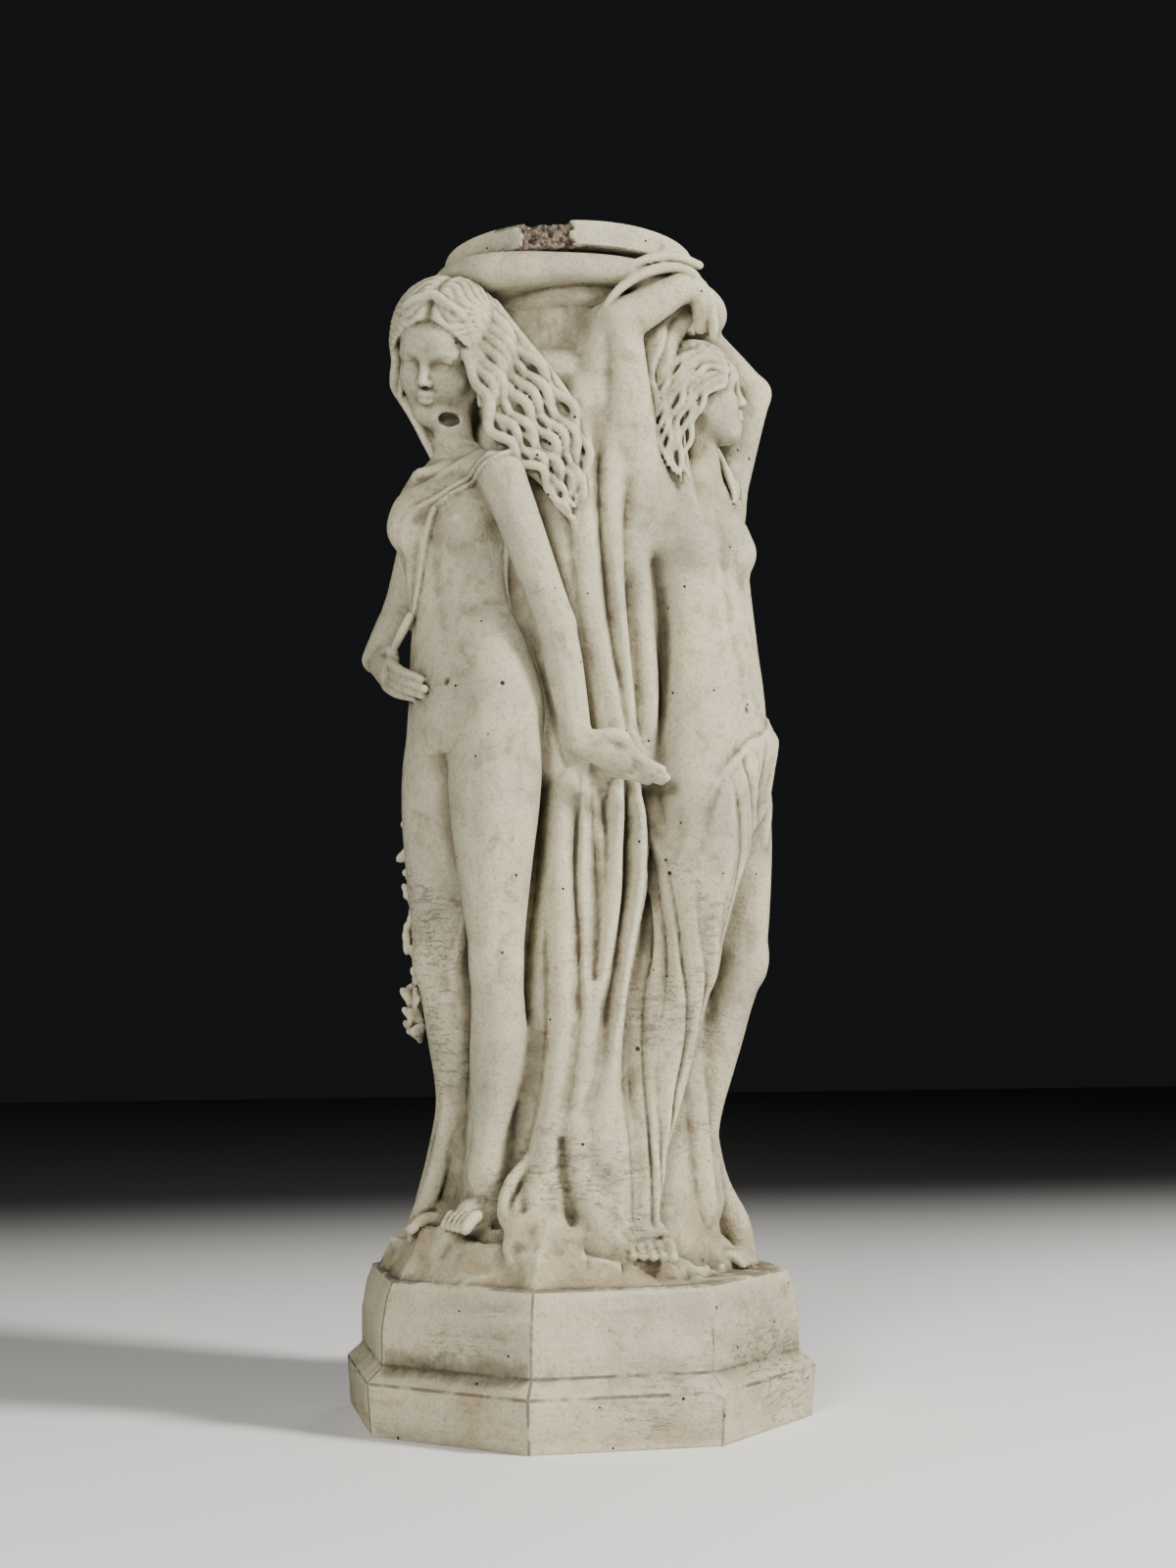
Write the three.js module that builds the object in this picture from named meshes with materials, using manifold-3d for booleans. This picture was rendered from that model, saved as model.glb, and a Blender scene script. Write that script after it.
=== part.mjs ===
// Three graces: a cast stone garden pedestal.
//
// One casting holds an eight-sided plinth in two tiers, a mound of rocky ground, three women who
// stand with their backs to a column wrapped in cloth, and a round capital with a neck ring, a
// lobed roll above the women's heads and a plain rim, chipped on the front.
//
// Millimetres, +Z up. The origin is the middle of the underside. -Y is the front: the first
// grace stands 60 degrees to its left, the second 60 degrees to its right, the third at the back.

import * as THREE from 'three';
import { mergeVertices } from 'three/addons/utils/BufferGeometryUtils.js';
import Module from 'manifold-3d';

// Plinth: corner radii and heights, from the ground up
const footRadius = 150.8;
const lipRadius = 153.4;
const footHeight = 31.7;
const bevelRise = 8.6;
const waistRadius = 143.5;
const topRadius = 136.1;
const plinthHeight = 91.0;

// The carved group between the plinth and the rim
const figuresHeight = 650.0;
const groundRadius = 123.5;
const neckRadius = 66.0;
const ringRadius = 72.5;
const ringHeight = 18.0;
const rollReach = 106.0;

// Rim
const rimRadius = 84.4;
const rimHeight = 19.0;
const rimEdge = 2.5;
const chipAzimuth = -22.0;
const chipWidth = 21.0;
const chipDepth = 6.5;

// Stone
const stoneColour = 0xc9c3b1;
const stoneRoughness = 0.88;

// How finely the free forms are carved, and how many facets are left on them
const carvingCell = 4.2;
const carvedFacets = 7600;
const capitalFacets = 44;

// The group is carved at its drawn height and laid out from there
const DRAWN_HEIGHT = 650.0;
const DRAWN_FOOT = 91.0;
const scale = figuresHeight / DRAWN_HEIGHT;
const totalHeight = plinthHeight + figuresHeight + rimHeight;
const drawn = (length) => length / scale;
const rad = THREE.MathUtils.degToRad;
const clamp = THREE.MathUtils.clamp;
const V = (x, y, z) => new THREE.Vector3(x, y, z);
const UP = V(0, 0, 1);

// Numbers along a table of rows, straight between them
function along(x, rows) {
  if (x <= rows[0][0]) return rows[0][1];
  for (let i = 1; i < rows.length; i += 1) {
    if (x <= rows[i][0]) {
      const t = (x - rows[i - 1][0]) / (rows[i][0] - rows[i - 1][0]);
      return rows[i - 1][1] + t * (rows[i][1] - rows[i - 1][1]);
    }
  }
  return rows[rows.length - 1][1];
}

// A smooth line through rows of numbers
function smoothRows(rows, per) {
  const last = rows.length - 1;
  const first = rows[0].map((v, c) => 2 * v - rows[1][c]);
  const end = rows[last].map((v, c) => 2 * v - rows[last - 1][c]);
  const all = [first, ...rows, end];
  const out = [];
  for (let i = 1; i < all.length - 2; i += 1) {
    for (let j = 0; j < per; j += 1) {
      const t = j / per;
      out.push(all[i].map((b, c) => {
        const [a, n, d] = [all[i - 1][c], all[i + 1][c], all[i + 2][c]];
        return b + 0.5 * t * (n - a + t * (2 * a - 5 * b + 4 * n - d + t * (3 * (b - n) + d - a)));
      }));
    }
  }
  out.push(rows[last]);
  return out;
}

// Left, front and up of a figure, or of one part of it
class Frame {
  constructor(origin, left, front, up, size = 1) {
    Object.assign(this, { origin, left, front, up, size });
  }

  at(l, f, u) {
    return this.origin.clone()
      .addScaledVector(this.left, l * this.size)
      .addScaledVector(this.front, f * this.size)
      .addScaledVector(this.up, u * this.size);
  }

  turned(place, { turn = 0, nod = 0, tilt = 0, size = 1 } = {}) {
    const swing = (a, b, angle) => [
      a.clone().multiplyScalar(Math.cos(angle)).addScaledVector(b, -Math.sin(angle)),
      b.clone().multiplyScalar(Math.cos(angle)).addScaledVector(a, Math.sin(angle)),
    ];
    const [left, front] = swing(this.left, this.front, rad(turn));
    const [ahead, up] = swing(front, this.up, rad(nod));
    const [side, top] = swing(left, up, rad(tilt));
    return new Frame(this.at(...place), side, ahead, top, this.size * size);
  }
}

function standing(azimuth) {
  const a = rad(azimuth);
  return new Frame(V(0, 0, 0), V(Math.cos(a), Math.sin(a), 0), V(Math.sin(a), -Math.cos(a), 0), UP);
}

function smoothMin(a, b, k) {
  const h = Math.max(k - Math.abs(a - b), 0);
  return Math.min(a, b) - (k > 0 ? (h * h * 0.25) / k : 0);
}

const smoothMax = (a, b, k) => -smoothMin(-a, -b, k);

// Clay: the distance to the surface, held on a grid, and the tools that add to it or cut it
class Clay {
  constructor(low, high, cell) {
    this.low = low;
    this.cell = cell;
    this.count = low.map((v, i) => Math.ceil((high[i] - v) / cell) + 1);
    this.field = new Float32Array(this.count[0] * this.count[1] * this.count[2]).fill(40);
  }

  each(low, high, margin, visit) {
    const from = low.map((v, i) => Math.max(0, Math.floor((v - margin - this.low[i]) / this.cell)));
    const to = high.map((v, i) => {
      return Math.min(this.count[i] - 1, Math.ceil((v + margin - this.low[i]) / this.cell));
    });
    for (let k = from[2]; k <= to[2]; k += 1) {
      const z = this.low[2] + k * this.cell;
      for (let j = from[1]; j <= to[1]; j += 1) {
        const y = this.low[1] + j * this.cell;
        for (let i = from[0]; i <= to[0]; i += 1) {
          const at = (k * this.count[1] + j) * this.count[0] + i;
          this.field[at] = visit(this.low[0] + i * this.cell, y, z, this.field[at]);
        }
      }
    }
  }

  add(low, high, blend, shape) {
    this.each(low, high, blend + this.cell, (x, y, z, was) => smoothMin(was, shape(x, y, z), blend));
  }

  cut(low, high, blend, shape) {
    this.each(low, high, blend + this.cell, (x, y, z, was) => smoothMax(was, -shape(x, y, z), blend));
  }

  // A roll of clay along a smooth line, round or pressed flat along one direction
  tube(points, radii, blend = 3, { flat = null, cut = false, per = 4 } = {}) {
    const radius = (i) => (Array.isArray(radii) ? radii[i] : radii);
    const rows = smoothRows(points.map((p, i) => [p.x, p.y, p.z, radius(i)]), per);
    const wide = Math.max(...rows.map((r) => r[3])) + 0.5;
    const low = [0, 1, 2].map((c) => Math.min(...rows.map((r) => r[c])) - wide);
    const high = [0, 1, 2].map((c) => Math.max(...rows.map((r) => r[c])) + wide);
    const pieces = rows.slice(1).map((b, i) => {
      const a = rows[i];
      const d = [b[0] - a[0], b[1] - a[1], b[2] - a[2]];
      return { a, b, d, dd: Math.max(d[0] * d[0] + d[1] * d[1] + d[2] * d[2], 1e-6) };
    });
    const shape = (x, y, z) => {
      let best = 1e9;
      for (const { a, b, d, dd } of pieces) {
        let [px, py, pz] = [x - a[0], y - a[1], z - a[2]];
        const t = clamp((px * d[0] + py * d[1] + pz * d[2]) / dd, 0, 1);
        px -= t * d[0];
        py -= t * d[1];
        pz -= t * d[2];
        const r = a[3] + t * (b[3] - a[3]);
        let e = 0;
        if (flat) {
          const { n, thin } = flat;
          const w = (px * n.x + py * n.y + pz * n.z) * (1 / thin - 1);
          e = (Math.hypot(px + w * n.x, py + w * n.y, pz + w * n.z) - r) * (0.45 + 0.55 * thin);
        } else {
          e = Math.sqrt(px * px + py * py + pz * pz) - r;
        }
        if (e < best) best = e;
      }
      return best;
    };
    if (cut) this.cut(low, high, blend, shape);
    else this.add(low, high, blend, shape);
  }

  // An oval lump in a frame
  ball(frame, place, radii, blend = 3, cut = false) {
    const c = frame.at(...place);
    const r = (Array.isArray(radii) ? radii : [radii, radii, radii]).map((v) => v * frame.size);
    const axes = [frame.left, frame.front, frame.up];
    const reach = ['x', 'y', 'z'].map((k) => Math.hypot(...axes.map((a, i) => a[k] * r[i])));
    const low = [c.x - reach[0], c.y - reach[1], c.z - reach[2]];
    const high = [c.x + reach[0], c.y + reach[1], c.z + reach[2]];
    const shape = (x, y, z) => {
      let k0 = 0;
      let k1 = 0;
      for (let i = 0; i < 3; i += 1) {
        const v = ((x - c.x) * axes[i].x + (y - c.y) * axes[i].y + (z - c.z) * axes[i].z) / r[i];
        k0 += v * v;
        k1 += (v * v) / (r[i] * r[i]);
      }
      k0 = Math.sqrt(k0);
      return (k0 * (k0 - 1)) / Math.sqrt(k1 + 1e-9);
    };
    if (cut) this.cut(low, high, blend, shape);
    else this.add(low, high, blend, shape);
  }

  // An upright form from rows of height, left, front, half width, depth ahead, depth behind, turn
  loft(frame, rows, blend = 4) {
    const table = smoothRows(rows, 6).sort((a, b) => a[0] - b[0]);
    const [foot, top] = [table[0][0], table[table.length - 1][0]];
    const wide = Math.max(...table.map((r) => Math.max(r[3], r[4], r[5]))) + 1;
    const corners = table.map((r) => frame.at(r[1], r[2], r[0]));
    const low = [Math.min(...corners.map((p) => p.x)) - wide, Math.min(...corners.map((p) => p.y)) - wide, foot];
    const high = [Math.max(...corners.map((p) => p.x)) + wide, Math.max(...corners.map((p) => p.y)) + wide, top];
    let [height, row] = [NaN, null];
    this.add(low, high, blend, (x, y, z) => {
      if (z !== height) {
        height = z;
        row = [1, 2, 3, 4, 5, 6].map((c) => along(z, table.map((r) => [r[0], r[c]])));
      }
      const l = x * frame.left.x + y * frame.left.y - row[0];
      const f = x * frame.front.x + y * frame.front.y - row[1];
      const [c, s] = [Math.cos(rad(row[5])), Math.sin(rad(row[5]))];
      const a = l * c - f * s;
      const b = f * c + l * s;
      const deep = b > 0 ? row[3] : row[4];
      const k0 = Math.hypot(a / row[2], b / deep);
      const k1 = Math.hypot(a / (row[2] * row[2]), b / (deep * deep));
      const d = ((k0 * (k0 - 1)) / Math.max(k1, 1e-4)) * 0.94;
      return Math.max(d, z - top, foot - z);
    });
  }

  // Cloth laid on what is there
  drape(low, high, blend, shape) {
    this.each(low, high, 0, (x, y, z, was) => smoothMin(was, shape(x, y, z, was), blend));
  }
}

const REACH = 158;
const clay = new Clay([-REACH, -REACH, DRAWN_FOOT - 12], [REACH, REACH, DRAWN_FOOT + DRAWN_HEIGHT + 12], carvingCell);

// The ground: a mound that falls away to the edge of the eight-sided plinth
const flats = Array.from({ length: 8 }, (_, i) => [Math.sin(rad(45 * i)), -Math.cos(rad(45 * i))]);

function groundHeight(x, y) {
  const azimuth = THREE.MathUtils.radToDeg(Math.atan2(x, -y));
  const out = Math.max(...flats.map(([a, b]) => x * a + y * b));
  const level = along(azimuth, [[-180, 112], [-110, 118], [-75, 123], [-20, 126], [0, 122], [9, 108],
    [22, 101], [60, 91], [80, 93], [98, 102], [130, 116], [180, 112]]);
  const rough = 2.6 * Math.sin(x * 0.085 + 1.3) * Math.sin(y * 0.11 + 0.4) + 1.6 * Math.sin(x * 0.21 + y * 0.17)
    + 1.1 * Math.abs(Math.sin(x * 0.19 - y * 0.15 + 2));
  const edge = drawn(groundRadius) + 1.2 * Math.sin(rad(azimuth) * 7 + 1);
  const fall = 1 - (1 - clamp((edge - out) / 20, 0, 1)) ** 1.8;
  return out > drawn(groundRadius) + 1 ? 60 : DRAWN_FOOT - 3 + (level + rough - DRAWN_FOOT + 3) * fall;
}

clay.add([-140, -140, DRAWN_FOOT - 10], [140, 140, 140], 1, (x, y, z) => {
  return Math.max((z - groundHeight(x, y)) * 0.72, DRAWN_FOOT - 8 - z);
});

function onCore(azimuth, z, r) {
  return V(r * Math.sin(rad(azimuth)), -r * Math.cos(rad(azimuth)), z);
}

function randomRow(seed) {
  let s = seed;
  return () => {
    s = (s * 1664525 + 1013904223) % 4294967296;
    return (s / 4294967296) * 2 - 1;
  };
}

// A broken stone: a lump cut by flat faces
function rock(place, size, seed) {
  const chance = randomRow(seed * 2654435 + 17);
  const sides = Array.from({ length: 11 }, () => {
    const n = V(chance(), chance(), chance()).normalize();
    return [n.x, n.y, n.z * 1.5, size * (0.81 + 0.19 * chance())];
  });
  const low = [place.x - size * 1.3, place.y - size * 1.3, place.z - size];
  const high = [place.x + size * 1.3, place.y + size * 1.3, place.z + size];
  clay.add(low, high, 2, (x, y, z) => {
    const d = sides.map(([a, b, c, deep]) => (x - place.x) * a + (y - place.y) * b + (z - place.z) * c - deep);
    return Math.max(Math.max(...d) * 0.8, DRAWN_FOOT - 8 - z);
  });
}

for (let i = 0; i < 7; i += 1) {
  const place = onCore(-84 + 11 * i + 3 * Math.sin(i * 2.3), 95 + 3 * Math.sin(i * 1.1 + 1), 100 + 4 * Math.sin(i * 1.7));
  rock(place, 17 + 3 * Math.sin(i * 2.9), i);
}
for (let i = 0; i < 13; i += 1) {
  const place = onCore(104 + 12 * i, 92 + 3 * Math.sin(i * 1.3), 100 + 4 * Math.sin(i * 1.7));
  rock(place, 17 + 3 * Math.sin(i * 2.9), 40 + i);
}

// The column under its cloth: a relief of folds on a slowly swelling round
const coreTop = drawn(neckRadius) - 4;
const coreProfile = [[85, 94], [110, 92], [140, 87], [200, 81], [300, 75], [400, 74], [500, 75], [560, 76],
  [600, 73], [640, coreTop + 4], [662, coreTop + 1], [700, coreTop - 2]];
const folds = [];
const gullies = [];

// Folds and gullies follow a line of places, azimuth and height, from top to foot
function lineOf(places) {
  return smoothRows(places, 6).map(([azimuth, z]) => [z, azimuth]).sort((a, b) => a[0] - b[0]);
}

function fold(places, width, rise, { soft = 1.2, ends = [45, 20] } = {}) {
  folds.push({ line: lineOf(places), width, rise, soft, ends });
}

function gully(places, width, deep, { ends = [25, 25] } = {}) {
  gullies.push({ line: lineOf(places), width, deep, ends });
}

const chance = randomRow(3);
for (const centre of [120, -120]) {
  for (let i = 0; i < 10; i += 1) {
    const a = centre - 54 + 11.8 * i;
    const spread = (share) => centre + (a - centre) * share;
    fold([[a + 3 * chance(), 662 + 12 * chance()], [a + 4 * chance(), 540], [spread(0.96) + 5 * chance(), 400],
      [spread(1.1) + 4 * chance(), 250], [spread(1.15) + 3 * chance(), 116]], 11 + 3 * chance(), 10 + 2.5 * chance());
    if (i % 3 === 1) fold([[a + 7, 600 + 30 * chance()], [a + 4, 470], [a + 2 * chance(), 330]], 7, 7);
  }
}
for (const a of [150, 170, -150, -170, -68, 50, 66, 82]) fold([[a, 655], [a, 400], [a, 112]], 12, 9);
// the sheet that hangs from the second figure's elbow
fold([[9, 716], [1, 684], [-4, 659], [-6, 638], [-6, 583],
  [-3, 507], [7, 451], [12, 424], [13, 400]], 13.4, 11.4, { soft: 1.2, ends: [8, 30] });
fold([[20, 712], [14, 650], [8, 600], [5, 560],
  [9, 511], [13, 470], [19, 432], [21, 396]], 12.2, 9.7, { soft: 1.2, ends: [8, 30] });
fold([[30, 712], [24, 620], [20, 560], [22, 500],
  [26, 461], [27, 420], [28, 380]], 11, 7, { soft: 1.2, ends: [8, 30] });
gully([[2, 660], [0, 600], [1, 560], [5, 510], [11, 450], [16, 415]], 4, 5);
gully([[16, 540], [18, 500], [20, 459], [22, 415]], 5, 8);
// behind the first figure's arm
fold([[-22, 600], [-18, 573], [-10, 510], [-1, 470], [4, 430], [6, 396]], 13.4, 7.9);
fold([[-34, 600], [-29, 540], [-24, 490], [-14, 440], [-8, 400]], 12.2, 7);
fold([[-44, 590], [-38, 520], [-32, 470], [-26, 420], [-22, 390]], 12.2, 6.2);
// below the hand
fold([[-18, 412], [-19, 375], [-23, 324], [-26, 294],
  [-27, 254], [-29, 202], [-33, 150], [-35, 118]], 11, 8.8);
fold([[-13, 412], [-17, 362], [-18, 334], [-16, 274], [-16, 243],
  [-18, 214], [-22, 184], [-26, 160], [-28, 130]], 13.4, 13.2, { soft: 1, ends: [50, 30] });
fold([[-7, 405], [-7, 354], [-7, 314], [-6, 274], [-6, 250],
  [-9, 214], [-12, 184], [-12, 160], [-10, 124]], 10.4, 11.4, { soft: .8, ends: [60, 20] });
fold([[-3, 396], [-1, 358], [1, 334], [2, 314], [1, 284]], 6.1, 7, { soft: .8, ends: [40, 25] });
fold([[11, 405], [10, 375], [8, 344], [6, 314],
  [2, 286], [-3, 262], [-6, 236]], 9.2, 11.4, { soft: .8, ends: [30, 30] });
fold([[19, 405], [20, 365], [17, 324], [10, 284], [6, 243],
  [3, 213], [0, 190], [-3, 165], [-2, 126]], 11.6, 13.2, { soft: 1, ends: [30, 30] });
fold([[-40, 420], [-40, 330], [-42, 230], [-46, 112]], 12.2, 7);
gully([[-11, 392], [-11, 334], [-10, 294], [-12, 243], [-15, 204], [-17, 175], [-15, 140]], 3.6, 5);
gully([[-3, 380], [-3.5, 330], [-4, 268]], 5, 6, { ends: [40, 8] });
gully([[15, 402], [13, 355], [12, 324], [7, 284], [1, 243], [-3, 213], [-8, 184], [-8, 150]], 3.6, 9);
gully([[23, 400], [26, 366], [25, 335], [21, 304], [16, 274],
  [12, 243], [9, 213], [5, 178], [4, 140]], 5, 11);
const reliefSteps = 480;
const reliefRise = 2;
const reliefRows = Math.ceil((712 - 80) / reliefRise);
const relief = new Float32Array(reliefSteps * reliefRows);
for (let j = 0; j < reliefRows; j += 1) {
  const z = 80 + j * reliefRise;
  const round = along(z, coreProfile);
  const lift = new Float32Array(reliefSteps);
  const follow = ({ line, ends }, change) => {
    const [foot, top] = [line[0][0], line[line.length - 1][0]];
    if (z > top || z < foot) return;
    const share = clamp((top - z) / ends[0], 0, 1) * clamp((z - foot) / ends[1], 0, 1);
    const fade = Math.sin((share * Math.PI) / 2);
    const centre = along(z, line);
    const lean = (rad(along(z + 2, line) - along(z - 2, line)) * round) / 4;
    const narrow = round / Math.sqrt(1 + lean * lean);
    for (let i = 0; i < reliefSteps; i += 1) {
      const azimuth = -180 + (360 * i) / reliefSteps;
      const off = (((azimuth - centre + 180) % 360) + 360) % 360 - 180;
      lift[i] = change(lift[i], rad(off) * narrow, fade);
    }
  };
  for (const f of folds) {
    const width = f.width * (0.9 + 0.15 * Math.sin(z * 0.031 + f.rise));
    follow(f, (was, across, fade) => smoothMax(was, f.rise * (fade - (across / width) ** 2), f.soft));
  }
  for (const g of gullies) {
    follow(g, (was, across, fade) => was - g.deep * fade * Math.exp(-((across / g.width) ** 2)));
  }
  for (let i = 0; i < reliefSteps; i += 1) relief[j * reliefSteps + i] = round + lift[i];
}

clay.add([-128, -128, 80], [128, 128, 706], 3, (x, y, z) => {
  const turn = (((THREE.MathUtils.radToDeg(Math.atan2(x, -y)) + 180) / 360) * reliefSteps + reliefSteps) % reliefSteps;
  const i = Math.floor(turn);
  const w = turn - i;
  const row = clamp(Math.floor((z - 80) / reliefRise), 0, reliefRows - 1) * reliefSteps;
  const r = relief[row + i] * (1 - w) + relief[row + ((i + 1) % reliefSteps)] * w;
  return Math.max((Math.hypot(x, y) - r) * 0.72, z - 706, DRAWN_FOOT - 8 - z);
});

// The hem on the ground: broad cloth, a turned lip round a pocket, and a pointed fold.
// Each roll is a row of azimuth, height, radius and thickness.
const broadHems = [
  [[-15, 250, 76, 7], [-19, 190, 84, 11], [-22, 150, 92, 14], [-23, 116, 100, 13]],
  [[-7, 250, 74, 7], [-6, 190, 82, 11], [-5, 150, 91, 13], [-4, 116, 99, 11]],
  [[1, 240, 74, 7], [3, 185, 84, 11], [3, 152, 92, 11], [4, 126, 100, 7]],
];
const turnedHems = [
  [[-24, 150, 100, 6], [-28, 134, 105, 10], [-29, 120, 109, 8]],
  [[-20, 196, 92, 4], [-21, 165, 100, 5], [-22.5, 143, 109, 4.4], [-26, 129, 116, 4], [-33.5, 130, 115, 4],
    [-33, 148, 109, 3.6]],
  [[-30, 125, 115, 4.4], [-32, 115, 118, 3.6], [-31, 106, 121, 2]],
  [[-10, 178, 93, 5], [-11, 158, 99, 6.6], [-9, 143, 104, 6.6], [-5, 130, 108, 5.2], [-1, 120, 112, 3]],
];
const hangRoll = (row, blend) => clay.tube(row.map(([a, z, r]) => onCore(a, z, r)), row.map((p) => p[3]), blend);
for (const row of broadHems) hangRoll(row, 9);
hangRoll(turnedHems[0], 5);
clay.ball(standing(-27), [0, 117, 137], [6, 6.5, 7], 1.5, true);
for (const row of turnedHems.slice(1)) hangRoll(row, 3);

// The lobed roll over the women's heads; the right lobe droops
clay.add([-114, -114, 695], [114, 114, 748], 2.5, (x, y, z) => {
  const a = Math.atan2(x, -y);
  const lobe = 0.5 - 0.5 * Math.cos(3 * a);
  const right = clamp(Math.sin(a), 0, 1);
  const reach = drawn(rollReach) - 19 * (1 - lobe ** 1.5) + 2 * right * lobe;
  const thick = 9.5 + 3.5 * lobe;
  const middle = 730 - 2 * lobe - 12 * lobe * right;
  return (Math.hypot(Math.max(Math.hypot(x, y) - reach + thick, 0), z - middle) - thick) * 0.85;
});

// Body: heights from crotch to neck, as shares, with half width, depth ahead and depth behind
const torsoBuild = [[-0.08, 45, 19, 25], [0, 48, 22.5, 28], [0.08, 48, 25.5, 28], [0.18, 45.5, 26.5, 26],
  [0.28, 42, 25.5, 24], [0.4, 37.5, 23, 22], [0.48, 36, 22, 21], [0.57, 36.5, 22, 21.5], [0.67, 39, 23.5, 23.5],
  [0.78, 41.5, 24, 24.5], [0.87, 42, 21.5, 22.5], [0.94, 37, 17.5, 18], [1, 25, 14, 14], [1.05, 14, 12, 12]];

function torso(frame, { crotch, neck, sway, turns, size = 1, waist = 1 }) {
  const knots = smoothRows([sway[0], ...sway], 8);
  const heights = [-0.1, 0.12, 0.5, 0.82, 1.05].map((h, i) => [i, h]);
  const path = knots.map((p, i) => [along((4 * i) / (knots.length - 1), heights), ...p]);
  const rows = torsoBuild.map(([t, wide, ahead, behind]) => {
    const slim = 1 + (waist - 1) * Math.exp(-(((t - 0.48) / 0.2) ** 2));
    const q = size * slim;
    const l = along(t, path.map((p) => [p[0], p[1]]));
    const f = along(t, path.map((p) => [p[0], p[2]]));
    const turn = along(t, [[0.15, turns[0]], [0.75, turns[1]]]);
    return [crotch + (neck - crotch) * t, l, f, wide * q, ahead * q, behind * q, turn];
  });
  clay.loft(frame, rows, 4);
}

// Legs: shares of the way down, half width, depth ahead, depth behind, and how far the line bows
const thighBuild = [[-0.5, 6, 8, 8, 0], [-0.4, 13, 13, 15, 0], [-0.28, 19, 17, 20, 0], [-0.15, 24, 21, 24, 0],
  [0, 28, 25, 27, 0], [0.15, 29.5, 27, 28, 1], [0.35, 28.5, 26.5, 26, 1.5], [0.55, 26, 25, 23, 1.5],
  [0.75, 23, 23, 20, 1], [0.9, 20.5, 21, 18, 0.5]];
const calfBuild = [[0, 19.5, 20.5, 17, 0], [0.12, 19, 18.5, 18, -0.5], [0.24, 19.5, 17, 21, -1], [0.38, 20, 16, 23, -1],
  [0.54, 18.5, 15, 21.5, -1], [0.7, 15, 13.5, 17, -0.5], [0.85, 11.8, 12, 13.5, 0], [0.97, 11, 12, 12.5, 0],
  [1.1, 11.5, 13, 13, 0]];

function leg(frame, hip, knee, ankle, { size = 1, turn = 0, slim = 1 } = {}) {
  const rows = [];
  for (const [build, a, b] of [[thighBuild, hip, knee], [calfBuild, knee, ankle]]) {
    for (const [t, wide, ahead, behind, bow] of build) {
      const fine = build === calfBuild ? slim : 1 + (slim - 1) * clamp((t - 0.3) / 0.6, 0, 1);
      const q = size * fine;
      const c = a.map((v, i) => v + (b[i] - v) * t);
      rows.push([c[2], c[0], c[1] + bow, wide * q, ahead * q, behind * q, turn]);
    }
  }
  clay.loft(frame, rows, 7);
}

function arm(shoulder, elbow, wrist, radii, blend = 9) {
  const upper = (t) => shoulder.clone().lerp(elbow, t);
  const fore = (t) => elbow.clone().lerp(wrist, t);
  const [r0, r1, r2, r3, r4] = radii;
  clay.tube([upper(0), upper(0.35), upper(0.75), upper(1)], [r0, r1, (r1 + r2) / 2 - 0.3, r2], blend);
  clay.tube([fore(0), fore(0.3), fore(0.7), fore(1)], [r2, r3, (r3 + r4) / 2, r4], 5);
}

// A flat hand. The thumb's side points from the little finger to the thumb.
function hand(wrist, tips, thumbSide, { curl = 3, size = 1, thumb = 0.6, out = 8 } = {}) {
  const d = tips.clone().sub(wrist);
  const reach = d.length();
  d.normalize();
  const w = thumbSide.clone().addScaledVector(d, -thumbSide.dot(d)).normalize();
  const n = d.clone().cross(w);
  const at = (share, side, lift) => wrist.clone().addScaledVector(d, reach * share)
    .addScaledVector(w, side * size).addScaledVector(n, lift * curl);
  clay.tube([at(-0.08, 0, 0), at(0.2, 0, 0.5), at(0.48, 0, 1)], [7 * size, 8.5 * size, 9.6 * size], 4,
    { flat: { n, thin: 0.62 } });
  for (const [far, off] of [[0.92, 1.5], [1, 0.5], [0.97, -0.5], [0.84, -1.5]]) {
    const finger = [at(0.46, off * 4.9, 1), at(0.46 + (far - 0.46) * 0.5, off * 5.3, 1), at(far, off * 4.9, 0)];
    clay.tube(finger, [3.9 * size, 3.6 * size, 3.0 * size], 1);
  }
  clay.tube([at(0.14, 5, 0), at(0.36, 4 + out, 0.3), at(thumb, 2 + out, 0.5)],
    [4.6 * size, 4.2 * size, 3.4 * size], 1.6);
}

// A bare foot, heel and toes given on the ground
function foot(frame, heel, toes, sole, ankle, size = 1) {
  const h = frame.at(heel[0], heel[1], sole + 9 * size);
  const t = frame.at(toes[0], toes[1], sole + 4 * size);
  const d = t.clone().sub(h);
  const reach = d.length();
  d.normalize();
  const w = d.clone().cross(UP).normalize();
  const at = (share, side, lift) => h.clone().addScaledVector(d, reach * share)
    .addScaledVector(w, side).addScaledVector(UP, lift);
  clay.tube([at(0, 0, 0), at(0.17, 0, 0)], [9.5 * size, 10 * size], 6);
  clay.tube([ankle, at(0.3, 0, 7), at(0.52, 0, 1)], [11 * size, 11 * size, 10 * size], 8);
  clay.tube([at(0.2, 0, 2), at(0.5, 0, 1), at(0.74, 0, -2)], [10 * size, 13 * size, 13.5 * size], 6,
    { flat: { n: UP, thin: 0.6 } });
  for (let i = 0; i < 5; i += 1) {
    const off = (i - 2) * 5.2 * size;
    const far = 1 - 0.05 * Math.max(i - 1, 0);
    const r = (i === 0 ? 4.6 : 3.8) * size;
    clay.tube([at(0.68, off * 0.95, -1), at(far * 0.88, off, 0.5), at(far, off, -4)], [r, r, r * 0.85], 1.2);
  }
}

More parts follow.
